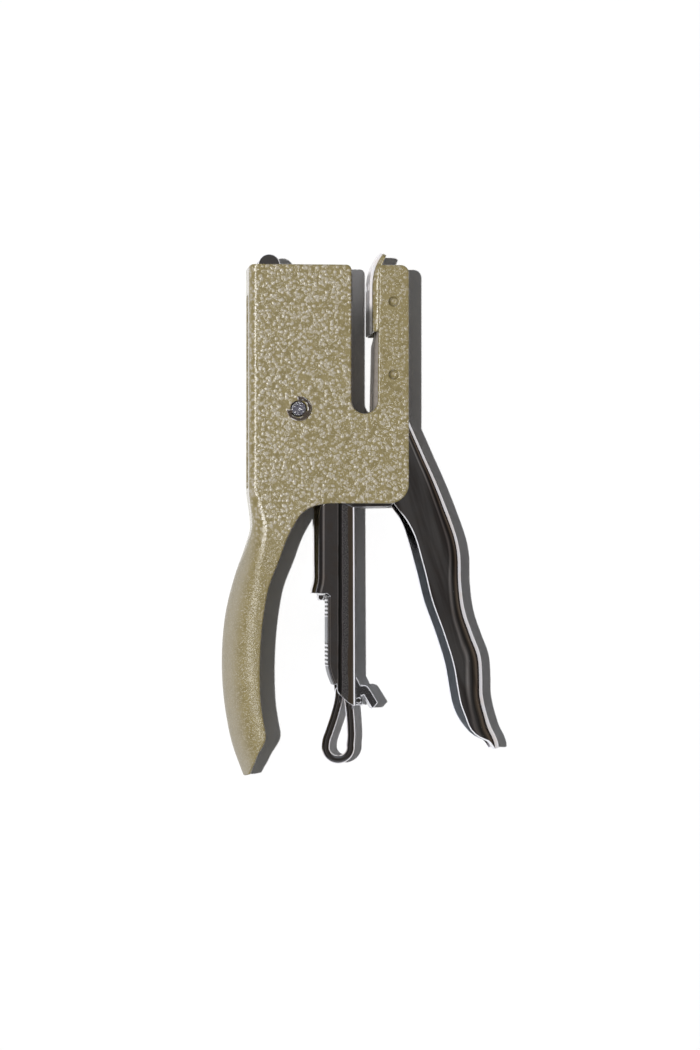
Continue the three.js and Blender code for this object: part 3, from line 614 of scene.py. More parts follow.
def magazine_case():
    bend = constant(3.4)
    sharp = constant(0.9)
    upper = Fold([(CASE_LEFT, y) for y in np.linspace(34, 9.2, 9)], bend, bend)
    flare = [(CASE_LEFT - 0.85 * smooth((CASE_STEP + 5.5 - y) / 5.5) ** 1.4, y)
             for y in [-9.2, *np.arange(-14, -50, -4), -51.5, -53, -54.4, -55.6, -56.5, -57.3, CASE_STEP]]
    wide = Fold(flare, bend, bend)
    corner = spline([(CASE_LOWER_LEFT, -80), (9.75, -82), (10.5, -84.6), (11.2, -86.3), (11.5, -86.9)], 0.5)
    narrow = Fold(join([(CASE_LOWER_LEFT, y) for y in np.arange(-58.9, -80, -0.35)], corner), sharp, sharp)
    ear = join([(7.6, 7.6)], arc(0, 0, 4.6, 90, 270, 16), [(7.6, -7.6)])
    bottom = spline([(12.5, -88.7), (13.5, -90.1), (14.8, -91.4), (16.3, -92.6), (18, -93.5)], 0.8)
    right = corners((18.1, -93.3, 0), (CASE_RIGHT, -7, 3), (HEAD_RIGHT - GAP, -3, 3),
                    (HEAD_RIGHT - GAP, CASE_TOP, 0.6), (2, CASE_TOP, 0.6), (2, 35.2, 0.6), (8, 35.2, 0))
    surface = folded([upper, ear, wide, [(9.2, CASE_STEP - 0.1)], narrow, bottom, right], *CASE_Z,
                     [PIN_HOLE], (0.35, 1.6), case_relief)
    return sheet_piece("magazine_channel", surface, CASE_SHEET, 0.3, 0.42)


def case_stop():
    top = [(8.9, CASE_STEP - 0.4), (6.6, CASE_STEP - 0.4)]
    outline = join(top, arc(7.55, -59.3, 0.95, 170, 350, 12))
    return flat_piece("case_tongue", outline, MID_Z - 2.5, MID_Z + 2.5, 0.3, spacing=0.8)


# ---- anvil arm ----
def anvil_carrier():
    tongue = [(26.9, 49.4), (26, 48.2), (25, 46.3), (24.2, 44), (23.75, 41.6), (23.6, 39.5), (23.6, 36)]
    edge = spline([(24, 22.7), (25, 24.6), (26.2, 25.4), (33.3, 25.4)], 0.9)
    upper = spline([(33.3, 42), (27.4, 44), (26.6, 45.2), (27.3, 47.4), (27.7, 48.9)], 0.7)
    line = join(spline(tongue, 0.8), [(23.6, y) for y in np.arange(35, 23, -1.5)])
    cut = join(edge, upper)
    bend = constant(1.7)
    web = Fold(line, bend, bend, cut, (-1, -0.6, -0.2, 0.2, 0.6, 1))
    free = after(after(cut, web, "last"), web, "first")
    surface = folded([web, free], *LEVER_Z, [(RIVET_X, RIVETS["anvil_rivet_upper"], 1.5)], 3)
    return sheet_piece("anvil_bracket", surface, SHEET, 0.45, 1.5)


def pockets(p):
    """Two clinch pockets in the strike plate."""
    y = smooth((1.15 - np.abs(p[:, 1] - STAPLE_Y)) / 0.35)
    z = smooth((1.95 - np.abs(np.abs(p[:, 2] - MID_Z) - 3.6)) / 0.5)
    return -0.32 * y * z


def anvil_plate():
    curve = spline([(25.95, 49.35), (24.4, 46.8), (23.2, 43.6), (22.75, 40.8), (ANVIL_X, 38)], 0.3)
    flat = [(ANVIL_X, y) for y in np.arange(37.7, 24, -0.3)]
    foot = [(ANVIL_X + 0.08, 23.75), (ANVIL_X + 0.25, 23.5)]
    surface = swept(join(curve, flat, foot), 2.3, BODY_T - 2.3, 60)
    surface.emboss(pockets)
    return sheet_piece("strike_plate", surface, 0.9, 0.2)


def slot_rib(p):
    """Long pressed slot near the lower end of the arm channel's web."""
    y = smooth((3.4 - np.abs(p[:, 1] - 2.6)) / 0.6)
    z = smooth((2.0 - np.abs(p[:, 2] - MID_Z)) / 0.6)
    return -0.35 * y * z


def arm_channel():
    bend = constant(1.5)
    line = join([(25.1, y) for y in np.arange(40, 25, -1.6)],
                [(np.interp(y, (-2.4, 20.6, 24.4), (CHANNEL_X - 0.5, CHANNEL_X, 25.1)), y)
                 for y in np.arange(24.4, -2.4, -0.6)])
    web = Fold(line, bend, bend, None, (-1, -0.7, -0.5, -0.4, -0.3, -0.1, 0.1, 0.3, 0.4, 0.5, 0.7, 1))
    free = corners((27, -1.6, 0), (33.4, 0, 1.5), (33.4, 40, 1.5), (28, 40, 0))
    holes = [(RIVET_X, y, 1.5) for y in RIVETS.values()]
    surface = folded([web, free], *CASE_Z, holes, 3, slot_rib)
    for i, (x, y, z) in enumerate(surface.points):
        joggle = 1 + (LEVER_Z[1] - CASE_Z[1]) / (CASE_Z[1] - MID_Z) * smooth((22.0 - y) / 2.5)
        surface.points[i] = np.array([x, y, MID_Z + (z - MID_Z) * joggle])
    return sheet_piece("arm_stiffener", surface, SHEET, 0.3)


# inset and depth of the dimple in a rivet's end
DIMPLE = ((0, 0), (0.08, 0.03), (0.18, 0.2), (0.3, 0.42), (0.45, 0.58), (0.65, 0.67), (0.9, 0.7))


def anvil_rivet(name, y):
    """Rivet whose enamelled end is a shallow round dimple."""
    rim = BODY_T - 0.08
    dimple = [(RIVET_R - inset, depth) for inset, depth in DIMPLE] + [(0.25, 0.7), (0, 0.7)]
    profile = [(0, 0.1), (RIVET_R - 0.25, 0.1), (RIVET_R, 0.4), (RIVET_R, rim - 0.4)]
    return lathe(name + "_head", profile + [(r, rim - depth) for r, depth in dimple], RIVET_X, y)


# ---- pivot ----
def pivot_pin():
    z0 = BODY_T + 0.3
    profile = [(0, 0), (PIN_R + 0.8, 0), (PIN_R + 0.85, 0.1), (PIN_R, 0.95), (PIN_R, z0 - 0.05),
               (PIN_GROOVE_R, z0 - 0.03), (PIN_GROOVE_R, z0 + 0.88), (PIN_R - 0.05, z0 + 0.9),
               (PIN_R, z0 + 0.98), (PIN_R, PIN_TOP - 0.5),
               (PIN_R - 0.08, PIN_TOP - 0.35), (PIN_R - 0.3, PIN_TOP - 0.1)]
    profile += [(r, PIN_TOP - 0.06 - 0.16 * smooth((1.7 - r) / 0.8)) for r in np.arange(1.8, 0.1, -0.2)]
    return lathe("peened_pivot_pin", profile + [(0, PIN_TOP - 0.2)], 0, 0, 56, 0.16)


def retaining_clip():
    outer = arc(0, 0, 3.9, -173, 97, 54)
    lug, inner = 1.95, 2.9
    line = join(outer, arc(0, 0, lug, 97, 72, 5), arc(0, 0, inner, 70, -18, 18), arc(0, 0, lug, -20, -60, 8),
                arc(0, 0, inner, -62, -146, 18), arc(0, 0, lug, -148, -173, 5))
    return flat_piece("clip_ring", line, BODY_T + 0.3, BODY_T + 1.15, 0.24, spacing=0.7)


def helix(x, y, z, r, axis, turns, length, per_turn=28):
    """Coil that climbs along the y or the z axis."""
    t = np.linspace(0, turns, int(turns * per_turn) + 1)
    a = 2 * math.pi * t
    climb = length * t / turns
    if axis == "y":
        return np.column_stack([x + r * np.cos(a), y + climb, z + r * np.sin(a)])
    return np.column_stack([x + r * np.cos(-math.pi / 2 - a), y + r * np.sin(-math.pi / 2 - a), z + climb])


def return_spring():
    coil = helix(0, 0, 6.4, 4.3, "z", 3, 5.2)
    legs = ([(-6.5, -4.3, 6.4), (-3, -4.3, 6.4)], [(-3, -4.5, 11.6), (-5.5, -5.5, 11.6)])
    return tube("torsion_spring", np.vstack([legs[0], coil, legs[1]]), 0.5, 10)


# ---- loader ----
LOOP_BOW = (13.18, -106.5, 3.99)     # centre and radius


def pull_loop():
    bow = arc(*LOOP_BOW, 172, 368, 22)
    line = spline([(13.6, -88.7), (13.4, -91), (12.2, -96.1), (10.5, -101.3), (9.4, -104.6), *bow[::2],
                   (17.35, -103), (17.25, -100), (16.9, -95), (16.5, -91.3), (16.4, -88.7)], 0.5)
    return tube("wire_pull_loop", np.column_stack([line, np.full(len(line), MID_Z)]), LOOP_WIRE, 24)


SPRING_X = 14.6
SPRING_FOOT = -81                # at the plug
SPRING_TOP = -34                 # at the pusher


def pusher_spring():
    length = SPRING_TOP - SPRING_FOOT
    return tube("follower_spring", helix(SPRING_X, SPRING_FOOT, MID_Z, 1.75, "y", 8, length), 0.35, 8)


def loader_catch():
    top = even(corners((19.9, -87.1, 0), (21.9, -86.7, 1.8), (25.5, -92.5, 0)), 0.3)
    way = directions(top)
    out = np.column_stack([-way[:, 1], way[:, 0]])
    teeth = [q + m * 0.16 * (k % 2) for k, (q, m) in enumerate(zip(top, out))]
    leaf = [(19.35, -85.6), (18.6, -84.2), (18.2, -84.4), (18.3, -93.2), (20.7, -93.3), (20.3, -90.3)]
    outline = join(leaf, arc(21, -90.6, 0.5, 150, 60, 5), [(23.5, -94.3), (24.2, -94)], teeth[::-1])
    return flat_piece("thumb_catch", outline, MID_Z - 4.2, MID_Z + 4.2, 0.36, [(19.4, -91.7, 0.7)], 0.9)


# ---- materials ----
class Nodes:
    """Short calls to build a node tree."""

    def __init__(self, tree):
        self.tree = tree

    def set(self, node, values):
        for key, value in values.items():
            socket = node.inputs[key]
            if isinstance(value, bpy.types.NodeSocket):
                self.tree.links.new(value, socket)
            elif socket.type == "RGBA":
                socket.default_value = (*value, 1)
            else:
                socket.default_value = value

    def add(self, kind, values, out=0, **options):
        node = self.tree.nodes.new("ShaderNode" + kind)
        for key, value in options.items():
            setattr(node, key, value)
        self.set(node, values)
        return node.outputs[out]

    def ramp(self, value, low, high, to_low=0.0, to_high=1.0):
        return self.add("MapRange", {0: value, 1: low, 2: high, 3: to_low, 4: to_high},
                        interpolation_type="SMOOTHSTEP")

    def colors(self, value, stops):
        node = self.tree.nodes.new("ShaderNodeValToRGB")
        elements = node.color_ramp.elements
        while len(elements) < len(stops):
            elements.new(0.5)
        for element, (at, color) in zip(elements, stops):
            element.position, element.color = at, (*color, 1)
        self.set(node, {"Fac": value})
        return node.outputs["Color"]

    def math(self, operation, a, b=0.0):
        return self.add("Math", {0: a, 1: b}, operation=operation)

    def times(self, a, b):
        return self.math("MULTIPLY", a, b)

    def mix(self, factor, a, b):
        return self.add("Mix", {0: factor, 6: a, 7: b}, 2, data_type="RGBA")

    def between(self, factor, a, b):
        return self.add("Mix", {0: factor, 2: a, 3: b}, 0)


class Finish(Nodes):
    """A material with one Principled shader."""

    def __init__(self, name, metal, color, roughness):
        self.material = bpy.data.materials.new(name)
        self.material.use_nodes = True
        super().__init__(self.material.node_tree)
        self.shader = self.tree.nodes["Principled BSDF"]
        self.set(self.shader, {"Metallic": metal, "Base Color": color, "Roughness": roughness})
        where = self.add("TexCoord", {}, "Object")
        self.mm = self.add("VectorMath", {0: where, 1: (1 / MM,) * 3}, operation="MULTIPLY")

    def stretch(self, x, y, z, where=None):
        return self.add("VectorMath", {0: where or self.mm, 1: (x, y, z)}, operation="MULTIPLY")

    def noise(self, scale, detail=2, rough=0.5, where=None, out=0):
        return self.add("TexNoise", {"Vector": where or self.mm, "Scale": scale, "Detail": detail,
                                               "Roughness": rough}, out)

    def cells(self, scale, where=None, kind="F1", out=0, **values):
        return self.add("TexVoronoi", {"Vector": where or self.mm, "Scale": scale, **values}, out,
                        feature=kind)

    def along(self, axis):
        """Position on one axis in millimetres from the pivot."""
        part = self.add("SeparateXYZ", {0: self.mm}, axis)
        return self.math("SUBTRACT", part, PIVOT[axis] / MM)

    def facing(self, axis):
        """Share of the surface normal along one axis of the piece."""
        normal = self.add("TexCoord", {}, "Normal")
        return self.add("SeparateXYZ", {0: normal}, axis)

    def bump(self, height, distance, normal=None):
        """Relief of so many millimetres, over an earlier one if it is given."""
        values = {"Height": height, "Distance": distance * MM}
        if normal is not None:
            values["Normal"] = normal
        return self.add("Bump", values)


KHAKI = (0.228, 0.186, 0.084)
VALLEY = (0.190, 0.153, 0.066)
PEBBLE = (0.322, 0.284, 0.208)
# painted highlight colour for the tops of the pebbles
CREST_HIGHLIGHT = (0.410, 0.376, 0.325)
# painted reflection colour for the handle's left-facing side
HANDLE_SHEEN = (0.330, 0.300, 0.245)


def enamel():
    """Hammered stove enamel: round pebbles and pale islands in khaki, finer on the handle, under gloss; pebble
    tops carry a painted highlight and the handle's left side a painted sheen.
    """
    f = Finish("hammered_enamel", 0.0, KHAKI, 0.45)
    f.set(f.shader, {"Specular IOR Level": 0.15, "Coat Roughness": 0.13, "Coat IOR": 1.5})
    grip = f.ramp(f.along(1), -34.0, -52.0)
    warp = f.noise(1.1, 2, 0.55, out=1)
    shifted = f.add("VectorMath", {0: warp, 1: (0.7, 0.7, 0.7), 2: f.mm}, operation="MULTIPLY_ADD")

    def pebbles(scale, keep, size=0.5):
        """Round spots of one cell size; keep is the share of cells left bare."""
        chance = f.add("SeparateColor", {0: f.cells(scale, shifted, out=1)}, 0)
        spots = f.ramp(f.cells(scale, shifted), size, 0.12)
        return f.times(spots, f.ramp(chance, keep, keep + 0.1))

    clump = f.ramp(f.noise(0.30, 3, 0.6), 0.38, 0.58)
    dots = pebbles(0.80, 0.04, 0.70)
    crumbs = pebbles(1.6, 0.3, 0.6)
    islands = f.ramp(f.cells(0.40, shifted, "SMOOTH_F1", Smoothness=0.25), 0.50, 0.24)
    islands = f.times(islands, clump)
    coarse = f.math("MAXIMUM", dots, f.times(crumbs, f.ramp(f.noise(0.5, 2), 0.42, 0.56)))
    islands = f.times(islands, f.ramp(f.noise(1.7, 2), 0.35, 0.6, 0.35, 0.8))
    coarse = f.math("MAXIMUM", coarse, islands)
    fine = f.times(f.math("MAXIMUM", pebbles(1.5, 0.12, 0.6), pebbles(2.1, 0.3, 0.6)), 0.8)
    height = f.between(grip, coarse, fine)
    arm = f.times(f.ramp(f.along(0), 23.0, 26.0), f.ramp(f.along(1), -8.0, 6.0))
    height = f.times(height, f.between(arm, 1.0, 0.72))
    shade = f.mix(f.ramp(f.noise(0.35, 3), 0.35, 0.62), VALLEY, KHAKI)
    shade = f.mix(f.ramp(height, 0.0, 0.3), shade, KHAKI)
    paint = f.mix(f.times(f.ramp(height, 0.2, 0.8), f.between(grip, 1.0, 0.75)), shade, PEBBLE)
    # painted highlight: pebble tops painted paler, as glints of the lamp
    crest_highlight = f.times(f.ramp(height, 0.6, 0.95), f.ramp(f.noise(1.9, 2), 0.46, 0.58))
    paint = f.mix(f.times(crest_highlight, f.between(grip, 0.8, 0.3)), paint, CREST_HIGHLIGHT)
    # painted sheen: the handle's left-facing side painted paler, as the white floor's reflection
    rubbed = f.times(grip, f.ramp(f.facing(0), -0.32, -0.75))
    paint = f.mix(f.times(rubbed, 0.6), paint, HANDLE_SHEEN)
    f.set(f.shader, {"Base Color": paint, "Roughness": f.ramp(height, 0, 1, 0.5, 0.36)})
    f.set(f.shader, {"Coat Weight": f.between(grip, 1.0, 0.42)})
    ripple = f.math("ADD", height, f.times(f.noise(1.5, 2), 0.5))
    normal = f.bump(f.noise(4.5, 1), 0.02, f.bump(ripple, 0.06))
    f.set(f.shader, {"Normal": normal, "Coat Normal": normal})
    return f.material


# colour of the painted highlights on cut edges
RIM_HIGHLIGHT = (0.92, 0.92, 0.97)


def rim_highlight(f, tint, metal, extra=None, glints=False):
    """Painted highlight: cut edges painted bright below the body and above it, as white reflections; with glints,
    in broken spots on every edge.
    """
    mark = f.add("Attribute", {}, 2, attribute_name="rim")
    if glints:
        gleam = f.times(f.ramp(mark, 0.2, 0.7), f.ramp(f.noise(0.9, 2), 0.50, 0.60, 0.05, 0.9))
    else:
        gleam = f.times(f.ramp(mark, 0.15, 0.6), f.ramp(f.noise(1.1, 3), 0.30, 0.50, 0.7, 0.95))
        y = f.along(1)
        gleam = f.times(gleam, f.math("ADD", f.ramp(y, -31.5, -34.0), f.ramp(y, 43.5, 45.0)))
    if extra is not None:
        gleam = f.math("MAXIMUM", gleam, extra)
    f.set(f.shader, {"Base Color": f.mix(gleam, tint, RIM_HIGHLIGHT), "Metallic": f.between(gleam, metal, 0.15)})


def chrome(name, color, roughness, speckle=0.0, waves=0.06):
    """Dark plated steel: near mirror, with long polishing lines, soft waviness and a few specks."""
    f = Finish(name, 1.0, color, roughness)
    lines = f.noise(1.0, 4, 0.6, f.stretch(5.0, 0.12, 5.0))
    wave = f.noise(0.14, 1, 0.5, f.stretch(1.0, 0.35, 1.0))
    stain = f.ramp(f.noise(0.3, 4), 0.35, 0.75)
    specks = f.ramp(f.noise(5.5, 1), 0.66, 0.74)
    tint = f.mix(stain, color, tuple(c * k for c, k in zip(color, (1.0, 0.93, 0.86))))
    tint = f.mix(f.times(specks, 0.25 + speckle), tint, (0.9, 0.9, 0.95))
    rough = f.ramp(lines, 0.3, 0.75, roughness * 0.7, roughness * 1.5)
    normal = f.bump(wave, waves, f.bump(lines, 0.0016))
    f.set(f.shader, {"Roughness": rough, "Normal": normal})
    return f, tint, rough


def loop_chrome():
    """Painted reflection: bright along the wire's sides and painted dark along its top."""
    f, tint, _ = chrome("loop_chrome", (0.85, 0.85, 0.90), 0.10)
    # painted reflection: top-facing surfaces painted dark, the sides stay bright
    tint = f.mix(f.ramp(f.facing(2), 0.45, 0.75), tint, (0.36, 0.34, 0.34))
    f.set(f.shader, {"Base Color": tint})
    return f.material


def strike_chrome():
    """Strike plate: bright and slightly milky above; painted darker and greyer towards its foot, as a dark
    reflection, with scuffs.
    """
    f, tint, _ = chrome("anvil_chrome", (0.92, 0.91, 0.94), 0.30)
    scuffs = f.ramp(f.noise(1.4, 4, 0.65, f.stretch(1, 0.4, 1)), 0.38, 0.62)
    # painted dark reflection: darker towards the plate's foot
    foot = f.ramp(f.math("ADD", f.along(1), f.noise(0.5, 2)), 34.5, 30.5)
    tint = f.mix(foot, tint, f.mix(scuffs, (0.16, 0.155, 0.15), (0.26, 0.25, 0.24)))
    f.set(f.shader, {"Base Color": tint, "Metallic": 0.25})
    return f.material


LEVER_LEAN = math.radians(17)    # how far the lever's grip leans from the tool's length


def lever_chrome():
    """Bright nickel outside, with painted reflections in light and brown streaks, a painted near-white top end and
    painted bright cut edges; the far plate's inner side is duller, evenly lit and painted blue-grey as a
    reflection.
    """
    f, tint, rough = chrome("lever_chrome", (0.60, 0.595, 0.62), 0.09, waves=0.22)
    turned = f.add("VectorRotate", {"Vector": f.mm, "Angle": -LEVER_LEAN}, rotation_type="Z_AXIS")
    # painted reflections: light and brown streaks on the up-facing plates
    reflection_streaks = f.ramp(f.noise(0.10, 3, 0.5, f.stretch(2.2, 0.22, 1.0, turned)), 0.36, 0.62)
    streaked_reflection = f.mix(reflection_streaks, f.mix(0.55, tint, (0.20, 0.17, 0.16)), f.mix(0.5, tint, (0.95, 0.97, 1.0)))
    tint = f.mix(f.ramp(f.facing(2), 0.75, 0.95), tint, streaked_reflection)
    # painted highlight: the lever's end above the head painted near white
    tint = f.mix(f.ramp(f.along(1), 43.5, 45.0), tint, (0.95, 0.95, 0.97))
    # the far plate's inner side on the grip: rougher, and painted blue-grey as a reflection
    dull = f.times(f.ramp(f.along(2), 3.4, 3.0), f.ramp(f.along(1), -38.0, -52.0))
    tint = f.mix(dull, tint, (0.50, 0.56, 0.62))
    f.set(f.shader, {"Roughness": f.between(dull, rough, 0.5)})
    rim_highlight(f, tint, 1.0)
    return f.material


# the case's stripes along x: where each starts, is full, starts to fade and ends
GROOVE = (12.75, 13.15, 13.8, 14.1)
RUBBED_BAND = (13.9, 14.3, 15.8, 16.2)
BROWN_STRIP = (15.9, 16.2, 17.4, 17.6)
BROWN_TINT = (0.74, 0.60, 0.46)
# painted shade colour for the pressed groove
GROOVE_SHADE = (0.055, 0.055, 0.055)
LIP_LEAN = -0.0035               # how far the case's right lip leans for each millimetre of length


def case_chrome():
    """Plated case with a rubbed, speckled band beside the pressed groove, a brown strip, painted shade in the
    groove and on the lower spine's web, painted light and shade on the ribs and a painted highlight along the
    right lip.
    """
    f, tint, rough = chrome("case_chrome", (0.66, 0.65, 0.67), 0.13, 0.2)
    x, y = f.along(0), f.along(1)
    drift = f.times(f.ramp(f.noise(0.15, 2), 0.3, 0.7), 0.25)
    x = f.math("ADD", x, drift)

    def stripe(start, full, fade, end):
        return f.times(f.ramp(x, start, full), f.ramp(x, end, fade))

    below = f.ramp(y, -27.0, -30.0)
    groove = stripe(*GROOVE)
    band = stripe(*RUBBED_BAND)
    strip = stripe(*BROWN_STRIP)
    grit = f.ramp(f.noise(3.4, 4, 0.7), 0.42, 0.66)
    # painted shade: the pressed groove painted near black
    tint = f.mix(f.times(groove, 0.95), tint, GROOVE_SHADE)
    rubbed = f.mix(grit, (0.30, 0.30, 0.33), (1.0, 1.0, 1.0))
    tint = f.mix(f.times(band, below), tint, rubbed)
    # brown strip beside the lip
    tint = f.mix(f.times(strip, 0.9), tint, BROWN_TINT)
    # painted shade: the lower spine's sideways-facing web painted darker grey, with grit
    spine = f.times(f.ramp(f.facing(2), 0.75, 0.35), f.ramp(y, -57.6, -58.2))
    tint = f.mix(spine, tint, f.mix(grit, (0.19, 0.195, 0.22), (0.33, 0.34, 0.37)))
    for at, half in CASE_RIBS:
        near = f.ramp(f.math("ABSOLUTE", f.math("SUBTRACT", y, at)), half + 0.1, half - 0.3)
        wave = f.math("SINE", f.times(y, 2 * math.pi / RIB_PITCH))
        # painted light and shade: each rib painted near white on one side, near black on the other
        rib_light_and_shade = f.mix(f.ramp(wave, -0.35, 0.35), (0.95, 0.95, 1.0), (0.01, 0.01, 0.012))
        tint = f.mix(f.times(spine, near), tint, rib_light_and_shade)
    dull = f.math("MAXIMUM", f.times(band, 0.9), spine)
    f.set(f.shader, {"Roughness": f.between(dull, rough, 0.42)})
    # painted highlight: a near-white line along the case's right lip
    lip_highlight = f.math("SUBTRACT", f.along(0), f.times(f.math("ADD", y, 7.0), LIP_LEAN))
    lip_highlight = f.times(f.ramp(lip_highlight, 17.25, 17.42), below)
    lip_highlight = f.times(lip_highlight, f.ramp(f.facing(2), 0.0, 0.3))
    rim_highlight(f, tint, 1.0, extra=lip_highlight)
    return f.material


ALONG_X = (0.25, 6.0, 6.0)       # drawn grain, as the noise's squeeze on each axis
ALONG_Y = (6.0, 0.25, 6.0)
UNDRAWN = (3.0, 3.0, 3.0)


def steel(name, color, roughness, grain=ALONG_X, metal=1.0, glints=False):
    """Plain or spring steel with a drawn grain, darker stains, small pits and painted highlights on its cut edges.
    """
    f = Finish(name, metal, color, roughness)
    lines = f.noise(1.0, 3, 0.6, f.stretch(*grain))
    stain = f.ramp(f.noise(0.8, 4, 0.6), 0.3, 0.75)
    pits = f.times(f.ramp(f.cells(0.5), 0.14, 0.08), 0.6)
    tint = f.mix(pits, f.mix(stain, color, tuple(c * 0.78 for c in color)), (0.05, 0.04, 0.035))
    rough = f.ramp(lines, 0.3, 0.7, roughness * 0.7, roughness * 1.3)
    f.set(f.shader, {"Roughness": rough, "Normal": f.bump(lines, 0.004)})
    rim_highlight(f, tint, metal, glints=glints)
    return f.material


def peened():
    """Bright hammered pin end: many small facets of blue, violet and grey, with painted glints and painted dark
    facets in its colour.
    """
    f = Finish("peened_steel", 1.0, (0.55, 0.56, 0.62), 0.20)
    grain = f.noise(2.4, 4, 0.7)
    # painted glints and shade: the facets' colour runs from near black to white
    shade = f.colors(grain, [(0.38, (0.02, 0.02, 0.03)), (0.45, (0.40, 0.37, 0.50)),
                             (0.50, (0.05, 0.05, 0.08)), (0.55, (1.0, 1.0, 1.0)), (0.62, (0.25, 0.26, 0.30))])
    facets = f.math("ADD", f.cells(2.4), grain)
    f.set(f.shader, {"Base Color": shade, "Metallic": 0.75, "Normal": f.bump(facets, 0.35)})
    return f.material


def floor_paper():
    f = Finish("pale_floor", 0.0, (0.86, 0.86, 0.86), 0.9)
    f.set(f.shader, {"Base Color": f.mix(f.noise(0.01, 3), (0.85, 0.85, 0.85), (0.87, 0.87, 0.87))})
    return f.material


# ---- studio ----
def grey(level):
    """Slightly warm grey."""
    return (level, level * 0.93, level * 0.88)


WHITE_FLOOR = (0.95, 0.93, 0.99)
FILL = (0.26, 0.28, 0.30)
LEFT_PANEL = (0.42, 0.43, 0.47)
# the light of each wall, from the floor line at 0 to straight up at 1
RIGHT_WALL = [(0.0, WHITE_FLOOR), (0.012, grey(0.03)), (0.16, grey(0.02)), (0.28, (0.07, 0.055, 0.045)),
              (0.40, (0.130, 0.102, 0.076)), (0.55, (0.055, 0.044, 0.034)), (0.70, grey(0.016)),
              (0.80, grey(0.05)), (0.90, grey(0.19)), (0.965, grey(0.045)), (1.0, grey(0.062))]
LEFT_WALL = [(0.0, WHITE_FLOOR), (0.012, LEFT_PANEL), (0.28, LEFT_PANEL), (0.42, grey(0.03)),
             (0.80, grey(0.025)), (0.89, grey(0.08)), (0.95, grey(0.24)), (0.985, grey(0.22)),
             (1.0, grey(0.062))]
END_WALLS = [(0.0, WHITE_FLOOR), (0.012, grey(0.05)), (0.3, FILL), (0.7, FILL), (0.85, grey(0.05)),
             (1.0, grey(0.06))]
# name, strength, width in degrees and direction
SUNS = (("key", 3.55, 1.2, (0.335, 0.0, -1)),
        ("key_gloss", 2.05, 24, (0.30, -0.06, -1)))
FLOOR_HALF = 3.0                 # metres
FLOOR_DROP = 0.00002
SEAT = (-92, -60, 1218)
TARGET = (16.2, -36.5, 18)
LENS = 131.5


def studio():
    """Dark studio over a white floor. The key light's gloss is a lamp of its own, for the enamel only."""
    scene = bpy.context.scene
    lamps = {}
    scene.view_settings.view_transform = "Standard"
    world = bpy.data.worlds.new("studio")
    world.use_nodes = True
    scene.world = world
    n = Nodes(world.node_tree)
    way = n.add("TexCoord", {}, "Generated")
    x, y, z = (n.add("SeparateXYZ", {0: way}, k) for k in range(3))
    right = n.colors(z, RIGHT_WALL)
    left = n.colors(z, LEFT_WALL)
    ends = n.colors(z, END_WALLS)
    sky = n.mix(n.ramp(x, 0.0, -0.10), right, left)
    sky = n.mix(n.ramp(n.math("ABSOLUTE", y), 0.55, 0.70), sky, ends)
    n.set(n.tree.nodes["Background"], {"Color": sky})

    for name, energy, angle, toward in SUNS:
        sun = bpy.data.lights.new(name, "SUN")
        sun.energy = energy
        sun.angle = math.radians(angle)
        lamp = bpy.data.objects.new(name, sun)
        lamp.rotation_euler = Vector(toward).to_track_quat("-Z", "Y").to_euler()
        lamp.visible_glossy = name != "key"
        lamp.visible_diffuse = name == "key"
        scene.collection.objects.link(lamp)
        lamps[name] = lamp

    mesh = bpy.data.meshes.new("floor")
    ground = [(x * FLOOR_HALF, y * FLOOR_HALF, 0) for x, y in ((-1, -1), (1, -1), (1, 1), (-1, 1))]
    mesh.from_pydata(ground, [], [(0, 1, 2, 3)])
    floor = bpy.data.objects.new("floor", mesh)
    floor.location.z = -FLOOR_DROP
    scene.collection.objects.link(floor)
    mesh.materials.append(floor_paper())
    return lamps


def camera():
    view = bpy.data.cameras.new("camera")
    view.sensor_width = 36
    view.lens = LENS
    view.clip_end = 20
    seat = Vector(SEAT) * MM + PIVOT
    target = Vector(TARGET) * MM + PIVOT
    back = (seat - target).normalized()
    right = Vector((0, 1, 0)).cross(back).normalized()
    up = back.cross(right)
    lens = bpy.data.objects.new("camera", view)
    lens.matrix_world = Matrix.Translation(seat) @ Matrix((right, up, back)).transposed().to_4x4()
    bpy.context.scene.collection.objects.link(lens)
    bpy.context.scene.camera = lens


LAMPS = studio()
camera()

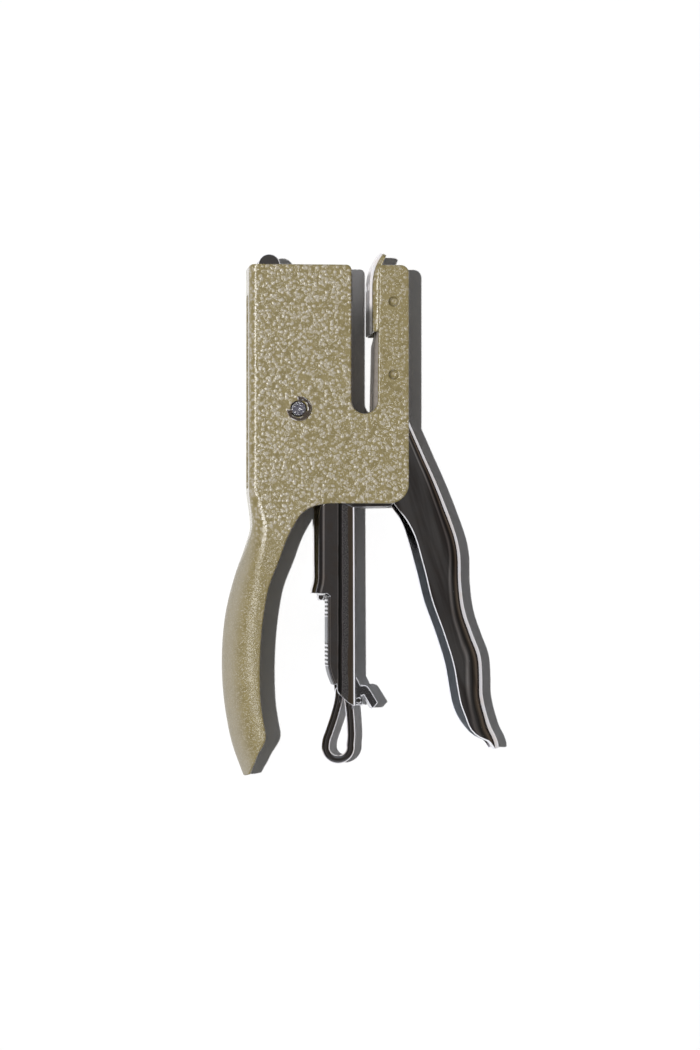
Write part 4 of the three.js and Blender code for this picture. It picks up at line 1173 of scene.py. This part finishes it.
ENAMEL = enamel()
LEVER_CHROME = lever_chrome()
CASE_CHROME = case_chrome()
LOOP_CHROME = loop_chrome()
ANVIL_CHROME = strike_chrome()
CLIP_STEEL = steel("clip_steel", (0.74, 0.63, 0.54), 0.34, (2.5, 2.5, 2.5), glints=True)
SPRING_STEEL = steel("spring_steel", (0.5, 0.5, 0.51), 0.25)
BRIGHT_STEEL = steel("bright_steel", (0.62, 0.61, 0.60), 0.2, ALONG_Y)
CHANNEL_STEEL = steel("channel_steel", (0.32, 0.285, 0.25), 0.45, ALONG_Y, metal=0.2)
ZINC = steel("zinc_steel", (0.62, 0.64, 0.70), 0.22, UNDRAWN)
PLAIN_STEEL = steel("plain_steel", (0.48, 0.47, 0.46), 0.35)
PEENED = peened()

PIECES = [
    (body_shell(), "root", "body_shell", ENAMEL),
    (anvil_carrier(), "root", "anvil_carrier", ENAMEL),
    (anvil_plate(), "root", "anvil_plate", ANVIL_CHROME),
    (arm_channel(), "root", "arm_channel", CHANNEL_STEEL),
    (pivot_pin(), "root", "pivot_pin", PEENED),
    (retaining_clip(), "root", "retaining_clip", CLIP_STEEL),
    (lever(), "lever", "lever", LEVER_CHROME),
    (return_spring(), "lever", "return_spring", SPRING_STEEL),
    (magazine_case(), "magazine", "magazine_case", CASE_CHROME),
    (case_stop(), "magazine", "case_stop", BRIGHT_STEEL),
    (pull_loop(), "loader", "pull_loop", LOOP_CHROME),
    (loader_catch(), "catch", "loader_catch", ZINC),
]
PIECES += [(anvil_rivet(name, y), "root", name, ENAMEL) for name, y in RIVETS.items()]
SLOTS = {s["node"]: s["material_slot"] for s in frame["record"]["subparts"]}

glossed = bpy.data.collections.new("glossed")
LAMPS["key_gloss"].light_linking.receiver_collection = glossed

for piece, body, node, material in PIECES:
    piece.data.materials.append(material)
    if material in (ENAMEL, PEENED):
        glossed.objects.link(piece)
    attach(piece, body)
    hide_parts(node)

spring = pusher_spring()
spring.data.materials.append(SPRING_STEEL)
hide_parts("pusher_spring")
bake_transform(spring)

# inner pieces keep their CAD shape, with broken edges
BY_SLOT = {"bright_steel": BRIGHT_STEEL, "plain_steel": PLAIN_STEEL, "spring_steel": SPRING_STEEL}
replaced = {node for _, _, node, _ in PIECES} | {"pusher_spring"}
for name, node in frame["nodes"].items():
    if name in replaced:
        continue
    edges = node.modifiers.new("broken_edges", "BEVEL")
    edges.width = 0.15 * MM
    edges.segments = 2
    edges.limit_method = "ANGLE"
    node.data.materials.clear()
    node.data.materials.append(BY_SLOT[SLOTS[name]])
